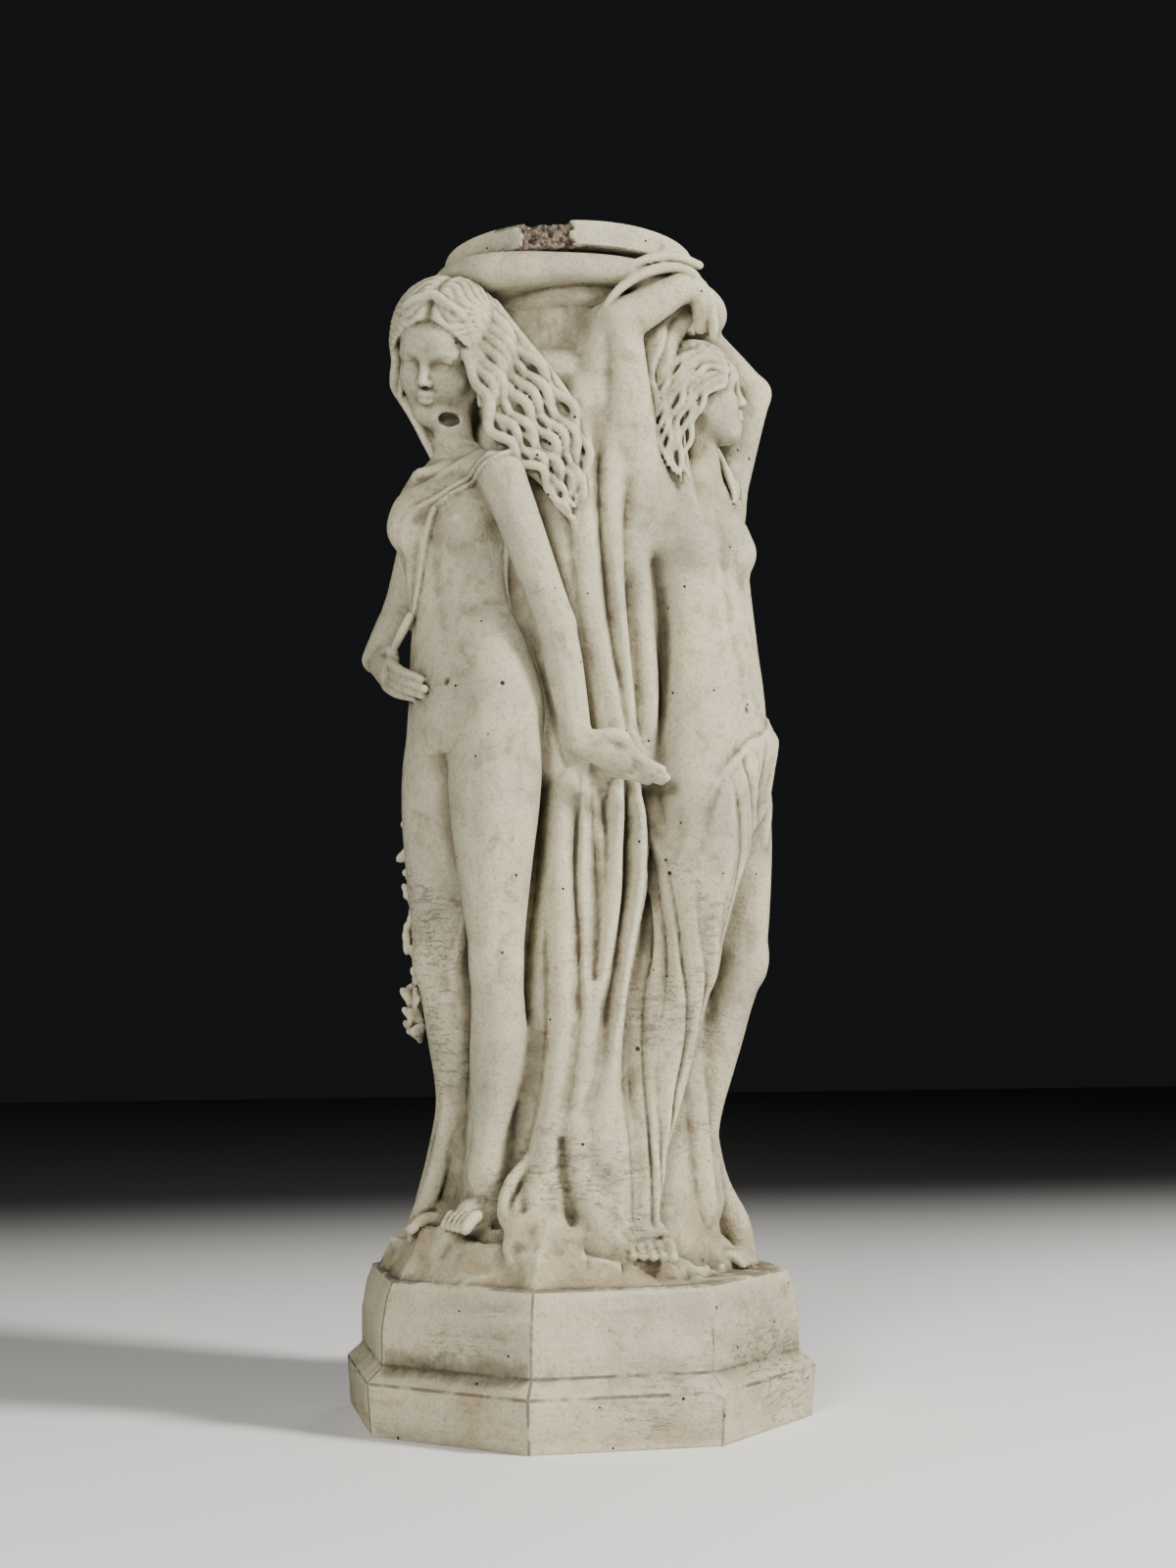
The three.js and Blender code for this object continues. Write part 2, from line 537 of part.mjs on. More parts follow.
function face(frame) {
  const roll = (points, radii, blend, cut = false) => {
    clay.tube(points.map((p) => frame.at(...p)), radii.map((r) => r * frame.size), blend, { cut });
  };
  clay.ball(frame, [0, -2, 8], [27.5, 33, 30], 0);
  clay.ball(frame, [0, 7, -9], [22, 22.5, 31], 8);
  clay.ball(frame, [0, 20, -32], [8.5, 7.5, 7.5], 10);
  for (const s of [-1, 1]) {
    roll([[s * 18, 2, -20], [s * 6, 19, -33]], [6.5, 6], 9);
    clay.ball(frame, [s * 12.5, 18.5, -12], [8.5, 7, 9], 9);
    clay.ball(frame, [s * 10.5, 34, -0.2], [8, 6.5, 5], 5, true);
    clay.ball(frame, [s * 10.4, 22.6, -0.2], [6, 5.8, 4.6], 1.6);
    roll([[s * 3.4, 29.4, 5], [s * 9, 29.8, 7.6], [s * 15, 26.4, 6.8], [s * 19, 21.5, 3.4]], [2, 2.4, 2.4, 2], 5);
  }
  roll([[0, 28.6, 6], [0, 31, -2], [0, 34.8, -10.5]], [2.8, 2.8, 3.6], 3.5);
  roll([[-6, 27.6, -20.6], [0, 30.4, -20.2], [6, 27.6, -20.6]], [1.6, 2.6, 1.6], 2);
}

// Hair combed from a parting, open over the face
function hairCap(frame, { radii = [33.5, 35, 36], place = [0, -5, 11], arch = 27, side = 11 } = {}) {
  const c = frame.at(...place);
  const m = Math.max(...radii) * frame.size + 2;
  clay.add([c.x - m, c.y - m, c.z - m], [c.x + m, c.y + m, c.z + m], 1.2, (x, y, z) => {
    const p = V(x, y, z).sub(frame.origin).divideScalar(frame.size);
    const [l, f, u] = [p.dot(frame.left), p.dot(frame.front), p.dot(frame.up)];
    const v = [l - place[0], f - place[1], u - place[2]];
    const k0 = Math.hypot(...v.map((q, i) => q / radii[i]));
    const k1 = Math.hypot(...v.map((q, i) => q / (radii[i] * radii[i])));
    const dome = (k0 * (k0 - 1)) / Math.max(k1, 1e-4) + 1.6 * Math.exp(-((l / 3) ** 2));
    const open = Math.min(arch - 0.028 * l * l - u, f - (side + 0.22 * u));
    return smoothMax(dome, -Math.max(-open, -50), 3) * 0.9 * frame.size;
  });
}

// A waving lock of hair
function lock(points, { sway, waves, radii, way, phase = 0 }) {
  const rows = smoothRows(points.map((p) => [p.x, p.y, p.z]), 6);
  const last = rows.length - 1;
  const line = V(...rows[last]).sub(V(...rows[0])).normalize();
  const w = way.clone().addScaledVector(line, -way.dot(line)).normalize();
  const path = rows.map((r, i) => {
    const t = i / last;
    return V(...r).addScaledVector(w, sway * Math.min(t * 4, 1) * Math.sin(2 * Math.PI * waves * t + phase));
  });
  const thick = rows.map((r, i) => {
    const t = i / last;
    return (radii[0] + (radii[1] - radii[0]) * t) * (t > 0.85 ? 1 - (t - 0.85) * 3 : 1);
  });
  clay.tube(path, thick, 1, { per: 1 });
}

// A mass of hair: locks side by side that wave together. Its edges run from the roots to the ends.
function tress(count, first, last, { sway, waves, radii, phase = 0, drift = 0.2, under = 5 }) {
  const across = V(0, 0, 0);
  first.forEach((p, i) => across.add(last[i]).sub(p));
  for (let i = 0; i < count; i += 1) {
    const points = first.map((p, j) => p.clone().lerp(last[j], i / (count - 1)));
    const run = points[points.length - 1].clone().sub(points[0]).normalize();
    const way = across.clone().addScaledVector(run, -across.dot(run)).normalize();
    lock(points, { sway, waves, radii, way, phase: phase + drift * i });
    const inward = run.clone().cross(way);
    inward.multiplyScalar(inward.dot(points[1]) > 0 ? -under : under);
    const inner = points.map((p) => p.clone().add(inward));
    clay.tube(inner, points.map((p, j) => (j === points.length - 1 ? radii[1] : radii[0] + 1)), 3);
  }
}

// Cloth drawn round a line from a to b, in pleats
function wrap(frame, low, high, { from, to, reach, pleats, twist, deep, cloth, inside }) {
  const d = to.clone().sub(from).normalize();
  const e1 = d.clone().cross(frame.front).normalize();
  const e2 = e1.clone().cross(d);
  const corners = [];
  for (let i = 0; i < 8; i += 1) {
    corners.push(frame.at(i & 1 ? low[0] : high[0], i & 2 ? low[1] : high[1], i & 4 ? low[2] : high[2]));
  }
  const least = ['x', 'y', 'z'].map((k) => Math.min(...corners.map((p) => p[k])));
  const most = ['x', 'y', 'z'].map((k) => Math.max(...corners.map((p) => p[k])));
  clay.drape(least, most, 1, (x, y, z, field) => {
    if (field > 14) return 40;
    const p = V(x, y, z).sub(from);
    const t = p.dot(d);
    const angle = Math.atan2(p.dot(e2), p.dot(e1));
    const q = (angle * pleats) / (2 * Math.PI) + t * twist + 0.2 * Math.sin(t * 0.05 + angle * 2);
    const w = Math.abs((q - Math.floor(q)) * 2 - 1);
    const far = Math.hypot(p.dot(e1), p.dot(e2)) - along(t, [[0, reach[0]], [to.distanceTo(from), reach[1]]]);
    const within = inside(x * frame.left.x + y * frame.left.y, x * frame.front.x + y * frame.front.y, z);
    const edge = smoothMax(within, far * 0.8, 6);
    return Math.max((field - cloth - deep * clamp(-edge / 8, 0, 1) * (1 - w * w)) * 0.9, edge);
  });
}

function neckAndShoulders(frame, base, head, ends, { radii = [13.5, 12.5, 13], blend = 12 } = {}) {
  const [l, f, z] = base;
  clay.tube([frame.at(l, f, z - 8), frame.at(l, f + 4, z + 16), head.at(0, -6, -16)], radii, 8);
  for (const [s, p] of ends) {
    const from = frame.at(l + s * 9, f, z);
    const middle = from.clone().add(p).multiplyScalar(0.5).add(UP);
    clay.tube([from, middle, p.clone().sub(UP)], [7, 8.5, 10], blend);
  }
}

function breasts(bust, size = 1) {
  for (const s of [-1, 1]) {
    clay.ball(bust, [s * 19.5, 17 * size, 4], [14 * size, 11 * size, 17], 12);
    clay.ball(bust, [s * 20.5, 23 * size, -2], [9.5 * size, 8 * size, 9.5 * size], 9);
  }
}

// First grace: one hand on her belly, the other on the folds
{
  const A = standing(-60);
  const hip = A.turned([11, 95, 436], { turn: 16 });
  const bust = A.turned([-6, 97, 562], { turn: 20 });
  const pose = { turn: 25, nod: 26, tilt: 12 };
  const head = A.turned([-4, 106, 675], { ...pose, size: 1 });
  torso(A, { crotch: 436, neck: 606, sway: [[13, 95], [0, 97], [-6, 96], [-4, 92]], turns: [16, 20], waist: 0.95 });
  neckAndShoulders(A, [-4, 92, 606], head, [[-1, A.at(-50, 85, 590)], [1, A.at(44, 99, 588)]]);
  breasts(bust);
  clay.ball(hip, [0, 13, -2], [27, 16, 26], 14);
  leg(A, [35, 96, 430], [42, 100, 282], [22, 93, 158], { size: 1.03, slim: 0.84 });
  foot(A, [14, 80], [23, 120], 124, A.at(22, 92, 158), 0.95);
  leg(A, [-14, 94, 430], [-17, 98, 284], [-8, 86, 166], { slim: 0.86 });
  foot(A, [-12, 74], [-26, 116], 121, A.at(-8, 86, 166), 0.9);
  // cloth behind her legs, spread over the right foot
  clay.tube([A.at(-20, 92, 250), A.at(-16, 94, 200), A.at(-22, 96, 160), A.at(-34, 96, 130), A.at(-40, 92, 116)],
    [4, 6, 8, 8, 5], 5);
  clay.tube([A.at(-12, 96, 230), A.at(-10, 98, 190), A.at(-16, 104, 150), A.at(-26, 108, 126), A.at(-32, 108, 114)],
    [3, 5, 6, 6, 4], 3);
  for (let i = 0; i < 3; i += 1) {
    clay.tube([A.at(9 + 3 * i, 82, 350), A.at(10 + 3 * i, 88 + i, 260), A.at(6 + 4 * i, 90 + 2 * i, 180),
      A.at(-2 + 7 * i, 92 + 4 * i, 122)], [4, 4.5, 5, 5], 1.5);
  }
  arm(A.at(45, 98, 588), A.at(69, 75, 492), A.at(76, 64, 420), [14, 13.5, 12, 12, 8.8]);
  hand(A.at(76, 64, 420), A.at(106, 18, 396), UP.clone().addScaledVector(A.front, 0.6),
    { curl: 1, size: 1.1, out: 7 });
  arm(A.at(-49, 84, 590), A.at(-86, 78, 524), A.at(-82, 103, 487), [13.5, 12.5, 11.5, 11, 8.2]);
  hand(A.at(-82, 103, 487), A.at(6, 128, 454), UP, { curl: 6, size: 1.05, thumb: 0.58, out: 5 });
  // the sash over her left shoulder
  const c = bust.at(0, 0, -8);
  clay.drape([c.x - 62, c.y - 62, c.z - 62], [c.x + 62, c.y + 62, c.z + 62], 0.8, (x, y, z, field) => {
    const p = V(x, y, z).sub(bust.origin);
    const [l, f, u] = [p.dot(bust.left), p.dot(bust.front), p.dot(bust.up)];
    const edge = along(u, [[-90, -24], [-62, -20], [-20, -7], [10, 4], [18, 19], [26, 36], [38, 56]]);
    const top = along(l, [[-60, 16], [-30, 22], [0, 33], [28, 48], [45, 60]]);
    return Math.max(field - 2, Math.max(l - edge, u - top, -66 - u, -f - 4) * 0.8);
  });
  clay.tube([bust.at(-17, 24, -58), bust.at(-24, 24, -70), bust.at(-32, 18, -78)], [3.5, 5, 4], 3);
  face(head);
  clay.ball(A, [6, 114, 632], [4.6, 5.5, 4.2], 1, true);
  hairCap(A.turned([-4, 106, 675], { ...pose, size: 1.06 }));
  clay.tube([head.at(24, -10, 14), head.at(30, -12, -8), head.at(28, -14, -34)], [11, 12, 10], 6);
  clay.tube([head.at(-22, -6, 12), head.at(-26, -6, -10), head.at(-22, -8, -34), A.at(-22, 84, 604)], [9, 9, 8, 7], 6);
  const highEdge = [onCore(-46, 704, 99), onCore(-33, 676, 98), onCore(-21, 652, 93), onCore(-10, 628, 88),
    onCore(-5, 600, 85), onCore(-8, 576, 85)];
  const lowEdge = [onCore(-50, 676, 114), onCore(-41, 646, 117), onCore(-37, 618, 115), onCore(-30, 600, 107),
    onCore(-22, 588, 97), onCore(-14, 566, 87)];
  tress(6, lowEdge, highEdge, { sway: 3.2, waves: 4.4, radii: [5.4, 3.4], drift: 0.8, under: 7 });
  for (const s of [-1, 1]) {
    for (let i = 0; i < 2; i += 1) {
      lock([head.at(s * 2, 15 - 10 * i, 40 - i), head.at(s * 16, 18 - 10 * i, 32), head.at(s * 26, 13 - 9 * i, 14),
        head.at(s * 27, 9 - 9 * i, -8), head.at(s * 26, 4 - 9 * i, -26)],
      { sway: 1.2, waves: 1.6, radii: [4, 4], way: A.front, phase: i });
    }
  }
  for (let i = 0; i < 3; i += 1) {
    lock([head.at(-27 + i, 14 - 9 * i, 8), head.at(-31 + i, 8 - 9 * i, -14), head.at(-27 + i, 2 - 7 * i, -34),
      A.at(-26 + 5 * i, 92 - 6 * i, 606)], { sway: 2.2, waves: 1.6, radii: [4.8, 3.4], way: A.left, phase: i });
  }
}

// Second grace: both arms raised to the roll, cloth at her hip and over her forearm
{
  const B = standing(60);
  const hip = B.turned([0, 96, 424], { turn: -22 });
  const bust = B.turned([-2, 88, 550], { turn: -28, nod: -8 });
  const head = B.turned([1, 90, 659], { turn: 14, nod: -8, size: 0.8 });
  torso(B, { crotch: 412, neck: 600, sway: [[2, 97], [1, 95], [-1, 86], [0, 86]], turns: [-22, -28], size: 0.97, waist: 1.06 });
  const shoulders = [[-1, B.at(-36, 64, 586)], [1, B.at(38, 94, 588)]];
  neckAndShoulders(B, [0, 88, 600], head, shoulders, { radii: [13, 11.5, 11] });
  for (const [s, p] of shoulders) {
    const under = p.clone().multiplyScalar(0.7).addScaledVector(bust.at(s * 26, 0, -10), 0.3).addScaledVector(UP, -14);
    clay.tube([p.clone().addScaledVector(UP, 8), p.clone().addScaledVector(UP, -14), under], [13, 13, 11], 12);
  }
  breasts(bust, 0.92);
  clay.ball(hip, [0, 12, 0], [26, 16, 26], 14);
  arm(B.at(-38, 60, 588), B.at(-54, 50, 696), B.at(-45, 89, 718), [15, 15.5, 15, 13.5, 9.5]);
  clay.tube([B.at(-45, 89, 718), B.at(-40, 99, 717), B.at(-32, 102, 707), B.at(-26, 98, 698)], [9, 9, 8, 6], 3);
  arm(B.at(38, 95, 590), B.at(46, 115, 671), B.at(12, 84, 712), [13.5, 13, 12.5, 11.5, 8.5], 8);
  hand(B.at(12, 84, 712), B.at(-24, 90, 706), UP, { curl: 1, size: 0.9, thumb: 0.5, out: 5 });
  face(head);
  hairCap(head, { side: 6 });
  clay.tube([head.at(-18, 4, 20), B.at(-25, 80, 656), B.at(-27, 77, 630), B.at(-27, 82, 604), B.at(-26, 88, 584)],
    [10, 10, 9.5, 8, 5], 4);
  clay.tube([B.at(-24, 84, 706), B.at(-28, 74, 684), B.at(-28, 72, 656)], [8, 8, 8], 4);
  // locks swept back from the brow, then down behind the cheek
  const brow = [B.at(-18, 111, 660), B.at(-25, 104, 655), B.at(-29, 98, 645), B.at(-31, 94, 632), B.at(-33, 90, 618),
    B.at(-35, 88, 604), B.at(-35, 91, 590)];
  const crown = [B.at(-6, 102, 688), B.at(-16, 88, 689), B.at(-25, 78, 677), B.at(-32, 70, 662), B.at(-37, 66, 645),
    B.at(-40, 64, 629), B.at(-40, 68, 613)];
  tress(5, brow, crown, { sway: 2, waves: 3.2, radii: [4.4, 3], drift: 1.1, under: 4 });
  leg(B, [25, 97, 414], [21, 106, 284], [12, 75, 158], { size: 0.98, turn: -14, slim: 0.92 });
  foot(B, [2, 70], [14, 112], 93, B.at(12, 75, 158));
  leg(B, [-20, 92, 414], [-28, 86, 282], [-57, 62, 152], { turn: -24, slim: 0.92 });
  foot(B, [-58, 54], [-92, 79], 107, B.at(-57, 62, 152));
  clay.tube([B.at(30, 70, 180), B.at(38, 80, 144), B.at(46, 92, 116), B.at(52, 96, 98)], [8, 10, 12, 10], 8);
  clay.tube([B.at(0, 92, 404), B.at(-6, 84, 330), B.at(-18, 70, 240)], [26, 24, 14], 12);
  wrap(B, [-110, 20, 110], [62, 150, 470], {
    from: B.at(-4, 88, 440),
    to: B.at(-56, 62, 140),
    reach: [56, 30],
    pleats: 12,
    twist: 0.01,
    deep: 3.6,
    cloth: 1.8,
    inside: (l, f, u) => {
      const top = along(l, [[-50, 340], [-46, 377], [-41, 396], [-31, 411], [-9, 426], [15, 437], [50, 455]]);
      const left = along(u, [[120, -84], [160, -76], [250, -58], [340, -52], [400, -50]]);
      const right = along(u, [[120, -66], [160, -57], [200, -46], [244, -38], [288, -33], [327, -20], [366, 0],
        [385, 20], [420, 60]]);
      return Math.max((u - top) * 0.6, (l - right) * 0.7, left - l, 118 - u);
    },
  });
  // the cloth's rolled edge below her waist, and cloth behind and over her raised arm
  clay.tube([B.at(-48, 90, 330), B.at(-47, 97, 358), B.at(-38, 111, 384), B.at(-18, 121, 406), B.at(8, 124, 424),
    B.at(34, 117, 440), B.at(48, 101, 450)], [3, 4, 5, 6, 6, 5, 4], 2);
  clay.tube([B.at(-52, 36, 560), B.at(-56, 35, 620), B.at(-60, 38, 668), B.at(-58, 44, 696), B.at(-52, 52, 708)],
    [7, 8, 8, 7, 4], 5);
  clay.tube([B.at(-66, 42, 702), B.at(-62, 54, 718), B.at(-56, 70, 729), B.at(-48, 87, 733), B.at(-42, 100, 727)],
    [3, 4, 5, 5, 4], 2);
}

// Third grace, at the back: a hand to her breast, a garland in the other, cloth about her legs
{
  const C = standing(180);
  const hip = C.turned([-10, 93, 436]);
  const bust = C.turned([2, 97, 562], { nod: -3 });
  const head = C.turned([2, 104, 670], { turn: -22, nod: 14, tilt: -4 });
  torso(C, { crotch: 430, neck: 606, sway: [[-10, 93], [-4, 96], [3, 96], [3, 92]], turns: [0, 0] });
  neckAndShoulders(C, [3, 92, 606], head, [[-1, C.at(-44, 92, 590)], [1, C.at(50, 92, 592)]]);
  breasts(bust);
  clay.ball(hip, [0, 13, -2], [27, 16, 26], 14);
  arm(C.at(50, 92, 592), C.at(80, 76, 498), C.at(92, 66, 430), [14, 13.5, 11.5, 12, 8.5]);
  hand(C.at(92, 66, 430), C.at(98, 62, 386), C.front, { curl: 1, size: 1.05 });
  arm(C.at(-44, 92, 590), C.at(-64, 92, 498), C.at(-34, 122, 548), [14, 13.5, 11.5, 12, 8.5]);
  hand(C.at(-34, 122, 548), C.at(8, 130, 578), UP, { curl: 4 });
  face(head);
  hairCap(head);
  for (const s of [-1, 1]) {
    clay.tube([head.at(s * 24, -10, 10), head.at(s * 32, -12, -12), C.at(s * 42, 86, 626), C.at(s * 46, 88, 600)], [10, 10, 8, 6], 6);
    for (let i = 0; i < 4; i += 1) {
      lock([head.at(s * 28, 4 - 7 * i, 6 - 4 * i), head.at(s * (36 + i), -2 - 6 * i, -18),
        C.at(s * (44 + 4 * i), 96 - 6 * i, 628), C.at(s * (38 + 11 * i), 100 - 7 * i, 590 + 4 * i)],
      { sway: 3, waves: 1.8, radii: [5, 3.4], way: C.left, phase: i * 0.4 });
    }
  }
  leg(C, [-34, 95, 426], [-36, 102, 284], [-28, 94, 160], { slim: 0.9 });
  leg(C, [14, 95, 426], [20, 108, 282], [18, 88, 162], { slim: 0.9 });
  foot(C, [-28, 80], [-34, 132], 110, C.at(-28, 94, 160));
  foot(C, [18, 76], [32, 128], 110, C.at(18, 88, 162));
  clay.tube([C.at(-8, 96, 410), C.at(-8, 94, 290), C.at(-6, 90, 130)], [26, 26, 22], 12);
  wrap(C, [-82, 20, 110], [82, 150, 480], {
    from: C.at(-6, 92, 430),
    to: C.at(-6, 88, 130),
    reach: [54, 60],
    pleats: 14,
    twist: 0.008,
    deep: 3.8,
    cloth: 2,
    inside: (l, f, u) => Math.max((u - (432 + 0.5 * l)) * 0.7, 142 + 0.25 * l - u, 40 - f),
  });
  // the garland she holds, hanging beside the first grace
  const scatter = randomRow(11);
  const buds = 40;
  for (let i = 0; i < buds; i += 1) {
    const t = i / (buds - 1);
    const azimuth = -64 - 10 * Math.sin(t * 3) + 4.5 * scatter();
    const r = 112 + 6 * Math.sin(t * Math.PI) + 4 * scatter();
    const p = onCore(azimuth - 0, 392 - 150 * t + 3 * scatter(), r);
    clay.ball(new Frame(p, V(1, 0, 0), V(0, -1, 0), UP), [0, 0, 0], 7 + 1.8 * scatter(), 1.2);
  }
}

// No air is sealed in: what the open air doesn't reach is filled
function fillHollows() {
  const [nx, ny, nz] = clay.count;
  const { field } = clay;
  const open = new Uint8Array(field.length);
  const queue = [0];
  open[0] = 1;
  while (queue.length > 0) {
    const at = queue.pop();
    const i = at % nx;
    const j = Math.floor(at / nx) % ny;
    const k = Math.floor(at / (nx * ny));
    const steps = [[i > 0, -1], [i < nx - 1, 1], [j > 0, -nx], [j < ny - 1, nx], [k > 0, -nx * ny], [k < nz - 1, nx * ny]];
    for (const [free, step] of steps) {
      if (free && !open[at + step] && field[at + step] > 0) {
        open[at + step] = 1;
        queue.push(at + step);
      }
    }
  }
  for (let at = 0; at < field.length; at += 1) {
    const i = at % nx;
    const j = Math.floor(at / nx) % ny;
    const k = Math.floor(at / (nx * ny));
    const border = i === 0 || j === 0 || k === 0 || i === nx - 1 || j === ny - 1 || k === nz - 1;
    if (border) field[at] = Math.max(field[at], 1);
    else if (field[at] > 0 && !open[at]) field[at] = -0.5;
    if (Math.abs(field[at]) < 0.02) field[at] = field[at] < 0 ? -0.02 : 0.02;
  }
}

// The surface of the clay: each cell is six tetrahedra about its diagonal
function skin() {
  const [nx, ny, nz] = clay.count;
  const { field, low, cell } = clay;
  const corner = [0, 1, nx, nx + 1, nx * ny, nx * ny + 1, nx * ny + nx, nx * ny + nx + 1];
  const paths = [[1, 3], [3, 2], [2, 6], [6, 4], [4, 5], [5, 1]];
  const points = [];
  const middles = [];
  const known = new Map();
  const faces = [];
  const place = (at) => [at % nx, Math.floor(at / nx) % ny, Math.floor(at / (nx * ny))];
  const crossing = (a, b) => {
    const key = a < b ? a * 8388608 + b : b * 8388608 + a;
    if (known.has(key)) return known.get(key);
    const t = field[a] / (field[a] - field[b]);
    const [p, q] = [place(a), place(b)];
    points.push(p.map((v, c) => low[c] + cell * (v + t * (q[c] - v))));
    middles.push(V(p[0] + q[0], p[1] + q[1], p[2] + q[2]));
    known.set(key, points.length - 1);
    return points.length - 1;
  };
  const tetra = (ends) => {
    const inner = ends.filter((e) => field[e] < 0);
    const outer = ends.filter((e) => field[e] >= 0);
    if (inner.length === 0 || outer.length === 0) return;
    let rings = [];
    if (inner.length === 1) rings = [[0, 1, 2].map((i) => crossing(inner[0], outer[i]))];
    else if (outer.length === 1) rings = [[0, 1, 2].map((i) => crossing(inner[i], outer[0]))];
    else {
      const [a, b] = inner;
      const [c, d] = outer;
      const ring = [crossing(a, c), crossing(a, d), crossing(b, d), crossing(b, c)];
      rings = [[ring[0], ring[1], ring[2]], [ring[0], ring[2], ring[3]]];
    }
    const from = inner.map(place).reduce((s, p) => s.map((v, c) => v + p[c] / inner.length), [0, 0, 0]);
    const to = outer.map(place).reduce((s, p) => s.map((v, c) => v + p[c] / outer.length), [0, 0, 0]);
    const out = V(to[0] - from[0], to[1] - from[1], to[2] - from[2]);
    for (const ring of rings) {
      const [p, q, r] = ring.map((i) => middles[i]);
      const normal = q.clone().sub(p).cross(r.clone().sub(p));
      faces.push(normal.dot(out) > 0 ? ring : [ring[0], ring[2], ring[1]]);
    }
  };
  for (let k = 0; k < nz - 1; k += 1) {
    for (let j = 0; j < ny - 1; j += 1) {
      for (let i = 0; i < nx - 1; i += 1) {
        const at = (k * ny + j) * nx + i;
        let inside = 0;
        for (const c of corner) inside += field[at + c] < 0 ? 1 : 0;
        if (inside === 0 || inside === 8) continue;
        const ends = corner.map((c) => at + c);
        for (const [a, b] of paths) tetra([ends[0], ends[a], ends[b], ends[7]]);
      }
    }
  }
  return { points, faces };
}

// Facets are merged where the surface is flattest, until the wanted number is left. Each corner
// holds the sum of the squared distances to the planes that met there, ten numbers to a corner.
function coarsen({ points, faces }, wanted) {
  const at = Float64Array.from(points.flat());
  const error = new Float64Array(points.length * 10);
  const corners = Int32Array.from(faces.flat());
  const alive = new Uint8Array(faces.length).fill(1);
  const around = points.map(() => []);
  const touched = new Int32Array(points.length).fill(-1);
  const plane = new Float64Array(4);

  const planeOf = (a, b, c) => {
    const [ax, ay, az] = [at[3 * a], at[3 * a + 1], at[3 * a + 2]];
    const [ux, uy, uz] = [at[3 * b] - ax, at[3 * b + 1] - ay, at[3 * b + 2] - az];
    const [vx, vy, vz] = [at[3 * c] - ax, at[3 * c + 1] - ay, at[3 * c + 2] - az];
    const [nx, ny, nz] = [uy * vz - uz * vy, uz * vx - ux * vz, ux * vy - uy * vx];
    const size = Math.sqrt(nx * nx + ny * ny + nz * nz) || 1e-12;
    plane[0] = nx / size;
    plane[1] = ny / size;
    plane[2] = nz / size;
    plane[3] = size / 2;
  };

  for (let f = 0; f < faces.length; f += 1) {
    const [a, b, c] = faces[f];
    planeOf(a, b, c);
    const [x, y, z, area] = plane;
    const d = -(x * at[3 * a] + y * at[3 * a + 1] + z * at[3 * a + 2]);
    const q = [x * x, x * y, x * z, x * d, y * y, y * z, y * d, z * z, z * d, d * d];
    for (const p of faces[f]) {
      around[p].push(f);
      for (let i = 0; i < 10; i += 1) error[p * 10 + i] += q[i] * area;
    }
  }

  const spot = new Float64Array(3);
  const q = new Float64Array(10);
  // the best place for the corner that an edge shrinks to, and what that costs
  const price = (a, b) => {
    for (let i = 0; i < 10; i += 1) q[i] = error[a * 10 + i] + error[b * 10 + i];
    const mx = (at[3 * a] + at[3 * b]) / 2;
    const my = (at[3 * a + 1] + at[3 * b + 1]) / 2;
    const mz = (at[3 * a + 2] + at[3 * b + 2]) / 2;
    const pull = 1e-3 * (q[0] + q[4] + q[7]);
    const [xx, yy, zz] = [q[0] + pull, q[4] + pull, q[7] + pull];
    const [bx, by, bz] = [pull * mx - q[3], pull * my - q[6], pull * mz - q[8]];
    const [cx, cy, cz] = [yy * zz - q[5] * q[5], q[2] * q[5] - q[1] * zz, q[1] * q[5] - yy * q[2]];
    const det = xx * cx + q[1] * cy + q[2] * cz;
    const span = Math.hypot(at[3 * a] - at[3 * b], at[3 * a + 1] - at[3 * b + 1], at[3 * a + 2] - at[3 * b + 2]);
    spot[0] = (cx * bx + cy * by + cz * bz) / det;
    spot[1] = (cy * bx + (xx * zz - q[2] * q[2]) * by + (q[1] * q[2] - xx * q[5]) * bz) / det;
    spot[2] = (cz * bx + (q[1] * q[2] - xx * q[5]) * by + (xx * yy - q[1] * q[1]) * bz) / det;
    const far = Math.hypot(spot[0] - mx, spot[1] - my, spot[2] - mz);
    if (!(far < span * 1.5)) {
      spot[0] = mx;
      spot[1] = my;
      spot[2] = mz;
    }
    const [x, y, z] = spot;
    const value = q[0] * x * x + 2 * q[1] * x * y + 2 * q[2] * x * z + 2 * q[3] * x + q[4] * y * y
      + 2 * q[5] * y * z + 2 * q[6] * y + q[7] * z * z + 2 * q[8] * z + q[9];
    return value + 2e-5 * span ** 4;
  };

  const near = (p) => {
    const out = [];
    for (const f of around[p]) {
      for (let i = 0; i < 3; i += 1) {
        const c = corners[3 * f + i];
        if (c !== p && !out.includes(c)) out.push(c);
      }
    }
    return out;
  };

  const flips = (p, other) => {
    for (const f of around[p]) {
      const [a, b, c] = [corners[3 * f], corners[3 * f + 1], corners[3 * f + 2]];
      if (a === other || b === other || c === other) continue;
      planeOf(a, b, c);
      const [x, y, z] = plane;
      const kept = [at[3 * p], at[3 * p + 1], at[3 * p + 2]];
      at.set(spot, 3 * p);
      planeOf(a, b, c);
      at.set(kept, 3 * p);
      if (x * plane[0] + y * plane[1] + z * plane[2] < 0.3 || plane[3] < 0.01) return true;
    }
    return false;
  };

